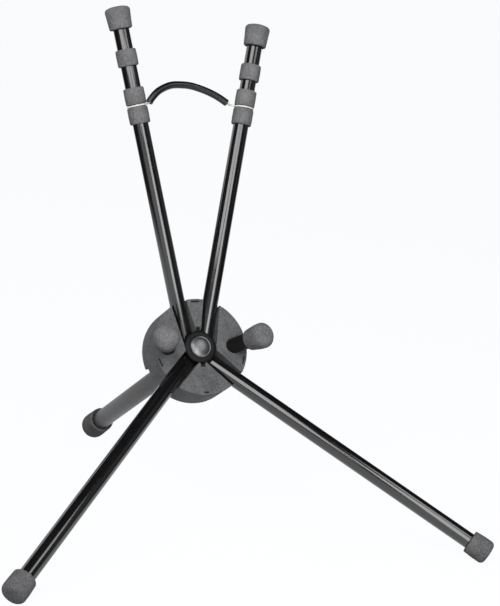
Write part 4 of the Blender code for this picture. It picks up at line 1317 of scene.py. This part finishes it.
@dataclass
class Studio:
    """The camera, the lamps, the world and the pale floor."""

    camera_place: tuple[float, float, float] = (-0.6491, -1.58097, 0.55460)
    camera_right: tuple[float, float, float] = (0.9122, -0.4034, 0.0718)
    camera_up: tuple[float, float, float] = (0.0142, 0.2061, 0.9784)
    camera_forward: tuple[float, float, float] = (0.4095, 0.8915, -0.1937)
    lens: float = 100.37
    sensor: float = 36.0
    shift: tuple[float, float] = (0.0013, 0.0013)
    floor_size: float = 160.0
    ambient: float = 0.10
    paper_half_width: float = 0.70
    paper_white: tuple[float, float, float, float] = (0.975, 0.985, 1.0, 1.0)
    aim: tuple[float, float, float] = (0.0, 0.0, 0.20)
    lamps: tuple[tuple[str, tuple[float, float, float], float, float, float, float], ...] = (
        ("key_softbox", (-0.545, -0.575, 0.610), 2.2, 1.50, 1.70, 34.0),
        ("front_softbox", (-0.035, -0.950, 0.280), 2.0, 0.95, 1.50, 20.0),
        ("top_softbox", (0.360, -0.620, 0.700), 2.2, 0.80, 0.80, 6.0),
        ("right_fill", (0.860, -0.360, 0.360), 2.4, 1.40, 1.40, 1.0),
        ("back_fill", (-0.500, 0.780, 0.380), 2.6, 1.80, 1.40, 10.0),
    )

    def build_camera(self) -> None:
        """The camera, at the photograph's viewing angle."""
        data = bpy.data.cameras.new("camera")
        data.lens, data.sensor_width = self.lens, self.sensor
        data.shift_x, data.shift_y = self.shift
        camera = bpy.data.objects.new("camera", data)
        back = -Vector(self.camera_forward)
        turn: Quaternion = Matrix((self.camera_right, self.camera_up, back)).transposed().to_quaternion()
        camera.matrix_world = Matrix.LocRotScale(Vector(self.camera_place), turn, None)
        bpy.context.scene.collection.objects.link(camera)
        bpy.context.scene.camera = camera

    def build_lamps(self) -> None:
        """Soft lamps, aimed at the middle of the stand."""
        aim = Vector(self.aim)
        for name, direction, distance, width, height, power in self.lamps:
            data = bpy.data.lights.new(name, "AREA")
            data.shape = "RECTANGLE"
            data.size, data.size_y, data.energy = width, height, power
            lamp = bpy.data.objects.new(name, data)
            towards = Vector(direction).normalized()
            lamp.location = aim + towards * distance
            lamp.rotation_euler = towards.to_track_quat("Z", "Y").to_euler()
            lamp.visible_camera = False
            bpy.context.scene.collection.objects.link(lamp)

    @staticmethod
    def ray_kinds(bench: NodeBench) -> tuple[object, object]:
        """Tell the camera's rays from those that come by a reflection or through glass.

        Args:
            bench: The bench of the tree to add to.

        Returns:
            A socket that is 1 for camera rays, and one that is 1 for mirrored rays.
        """
        path = bench.add("ShaderNodeLightPath")
        mirrored = bench.maths("ADD", path.outputs["Is Glossy Ray"], path.outputs["Is Transmission Ray"], clamp=True)
        return path.outputs["Is Camera Ray"], mirrored

    @staticmethod
    def across(bench: NodeBench, vector: object, axis: tuple[float, float, float]) -> object:
        """How far a vector reaches along an axis.

        Args:
            bench: The bench of the tree to add to.
            vector: The vector's socket.
            axis: The axis.

        Returns:
            The reach's socket.
        """
        return bench.add("ShaderNodeVectorMath", {"operation": "DOT_PRODUCT"}, {0: vector, 1: axis}).outputs["Value"]

    def build_world(self) -> None:
        """White to the camera, a low white backdrop in reflections, and an even light."""
        world = bpy.data.worlds.new("studio")
        world.use_nodes = True
        world.node_tree.nodes.clear()
        bench = NodeBench(world.node_tree)
        seen, mirrored = self.ray_kinds(bench)
        direction = bench.add("ShaderNodeTexCoord").outputs["Generated"]
        low = bench.spread(self.across(bench, direction, (0, 0, 1)), 0.04, 0.24, 1.0, 0.02)
        inline = bench.maths("ABSOLUTE", self.across(bench, direction, self.camera_forward))
        backdrop = bench.maths("MULTIPLY", low, bench.spread(inline, 0.55, 0.85, 0.02, 1.0))
        backdrop = bench.maths("MULTIPLY", backdrop, mirrored)
        lit = bench.maths("SUBTRACT", bench.maths("SUBTRACT", 1.0, seen), mirrored)
        even = bench.maths("MULTIPLY", lit, self.ambient)
        strength = bench.maths("ADD", bench.maths("ADD", seen, backdrop), even)
        light = bench.add("ShaderNodeBackground", None, {"Color": self.paper_white, "Strength": strength})
        bench.add("ShaderNodeOutputWorld", None, {"Surface": light.outputs[0]})
        bpy.context.scene.world = world

    def build_floor(self) -> None:
        """A large floor, white to the camera with the stand's soft shadow, and a white paper in reflections."""
        clear_selection()
        bpy.ops.mesh.primitive_plane_add(size=self.floor_size, location=(0, 0, -0.0002))
        floor = bpy.context.active_object
        floor.name = floor.data.name = "studio_floor"
        made = bpy.data.materials.new("pale_floor")
        made.use_nodes = True
        made.node_tree.nodes.clear()
        bench = NodeBench(made.node_tree)
        seen, mirrored = self.ray_kinds(bench)
        place = bench.add("ShaderNodeTexCoord").outputs["Object"]
        aside = bench.maths("ABSOLUTE", self.across(bench, place, self.camera_right))
        away = bench.add("ShaderNodeVectorMath", {"operation": "LENGTH"}, {0: place}).outputs["Value"]
        near = bench.spread(away, self.paper_half_width, self.paper_half_width + 0.4, 1.0, 0.02)
        wedge = bench.spread(bench.maths("DIVIDE", aside, bench.maths("ADD", away, 0.01)), 0.60, 0.85, 1.0, 0.02)
        paper = bench.maths("MAXIMUM", near, wedge)
        matte = bench.add("ShaderNodeBsdfDiffuse", None, {"Color": (0.36, 0.365, 0.37, 1.0)})
        strength = bench.maths("ADD", bench.maths("MULTIPLY", seen, 1.13), bench.maths("MULTIPLY", mirrored, paper))
        white = bench.add("ShaderNodeEmission", None, {"Color": self.paper_white, "Strength": strength})
        share = bench.maths("ADD", bench.maths("MULTIPLY", seen, 0.86), mirrored)
        mixed = bench.add("ShaderNodeMixShader", None, {0: share, 1: matte.outputs[0], 2: white.outputs[0]})
        bench.add("ShaderNodeOutputMaterial", None, {"Surface": mixed.outputs[0]})
        floor.data.materials.append(made)

    def build(self) -> None:
        """Set up the studio."""
        self.build_camera()
        self.build_lamps()
        self.build_world()
        self.build_floor()
        bpy.context.scene.view_settings.view_transform = "Standard"


def main() -> None:
    """Build the studio, then every sub-assembly in order."""
    logging.basicConfig(level=logging.INFO, format="%(name)s: %(message)s")
    Studio().build()
    wardrobe = Wardrobe()
    assemblies = [
        SpanCord(wardrobe, "arm_left"),
        Arm(wardrobe, "arm_left", -ARM_AZIMUTH, -ARM_OFFSET, 0.3410, cap_lift=0.0105, ring_stations=(0.2996, 0.2610)),
        Arm(wardrobe, "arm_right", ARM_AZIMUTH, ARM_OFFSET, 0.3410, ring_stations=(0.2899, 0.2628)),
        Leg(wardrobe, "leg_left", -LEG_AZIMUTH, 0.0, 0.3560),
        Leg(wardrobe, "leg_right", LEG_AZIMUTH, 0.0, 0.3560),
        HingeHead(wardrobe, "head"),
        RearLeg(wardrobe, "head"),
    ]
    for assembly in assemblies:
        LOG.info("building %s on %s", type(assembly).__name__, assembly.body)
        assembly.build()


if __name__ == "__main__":
    main()
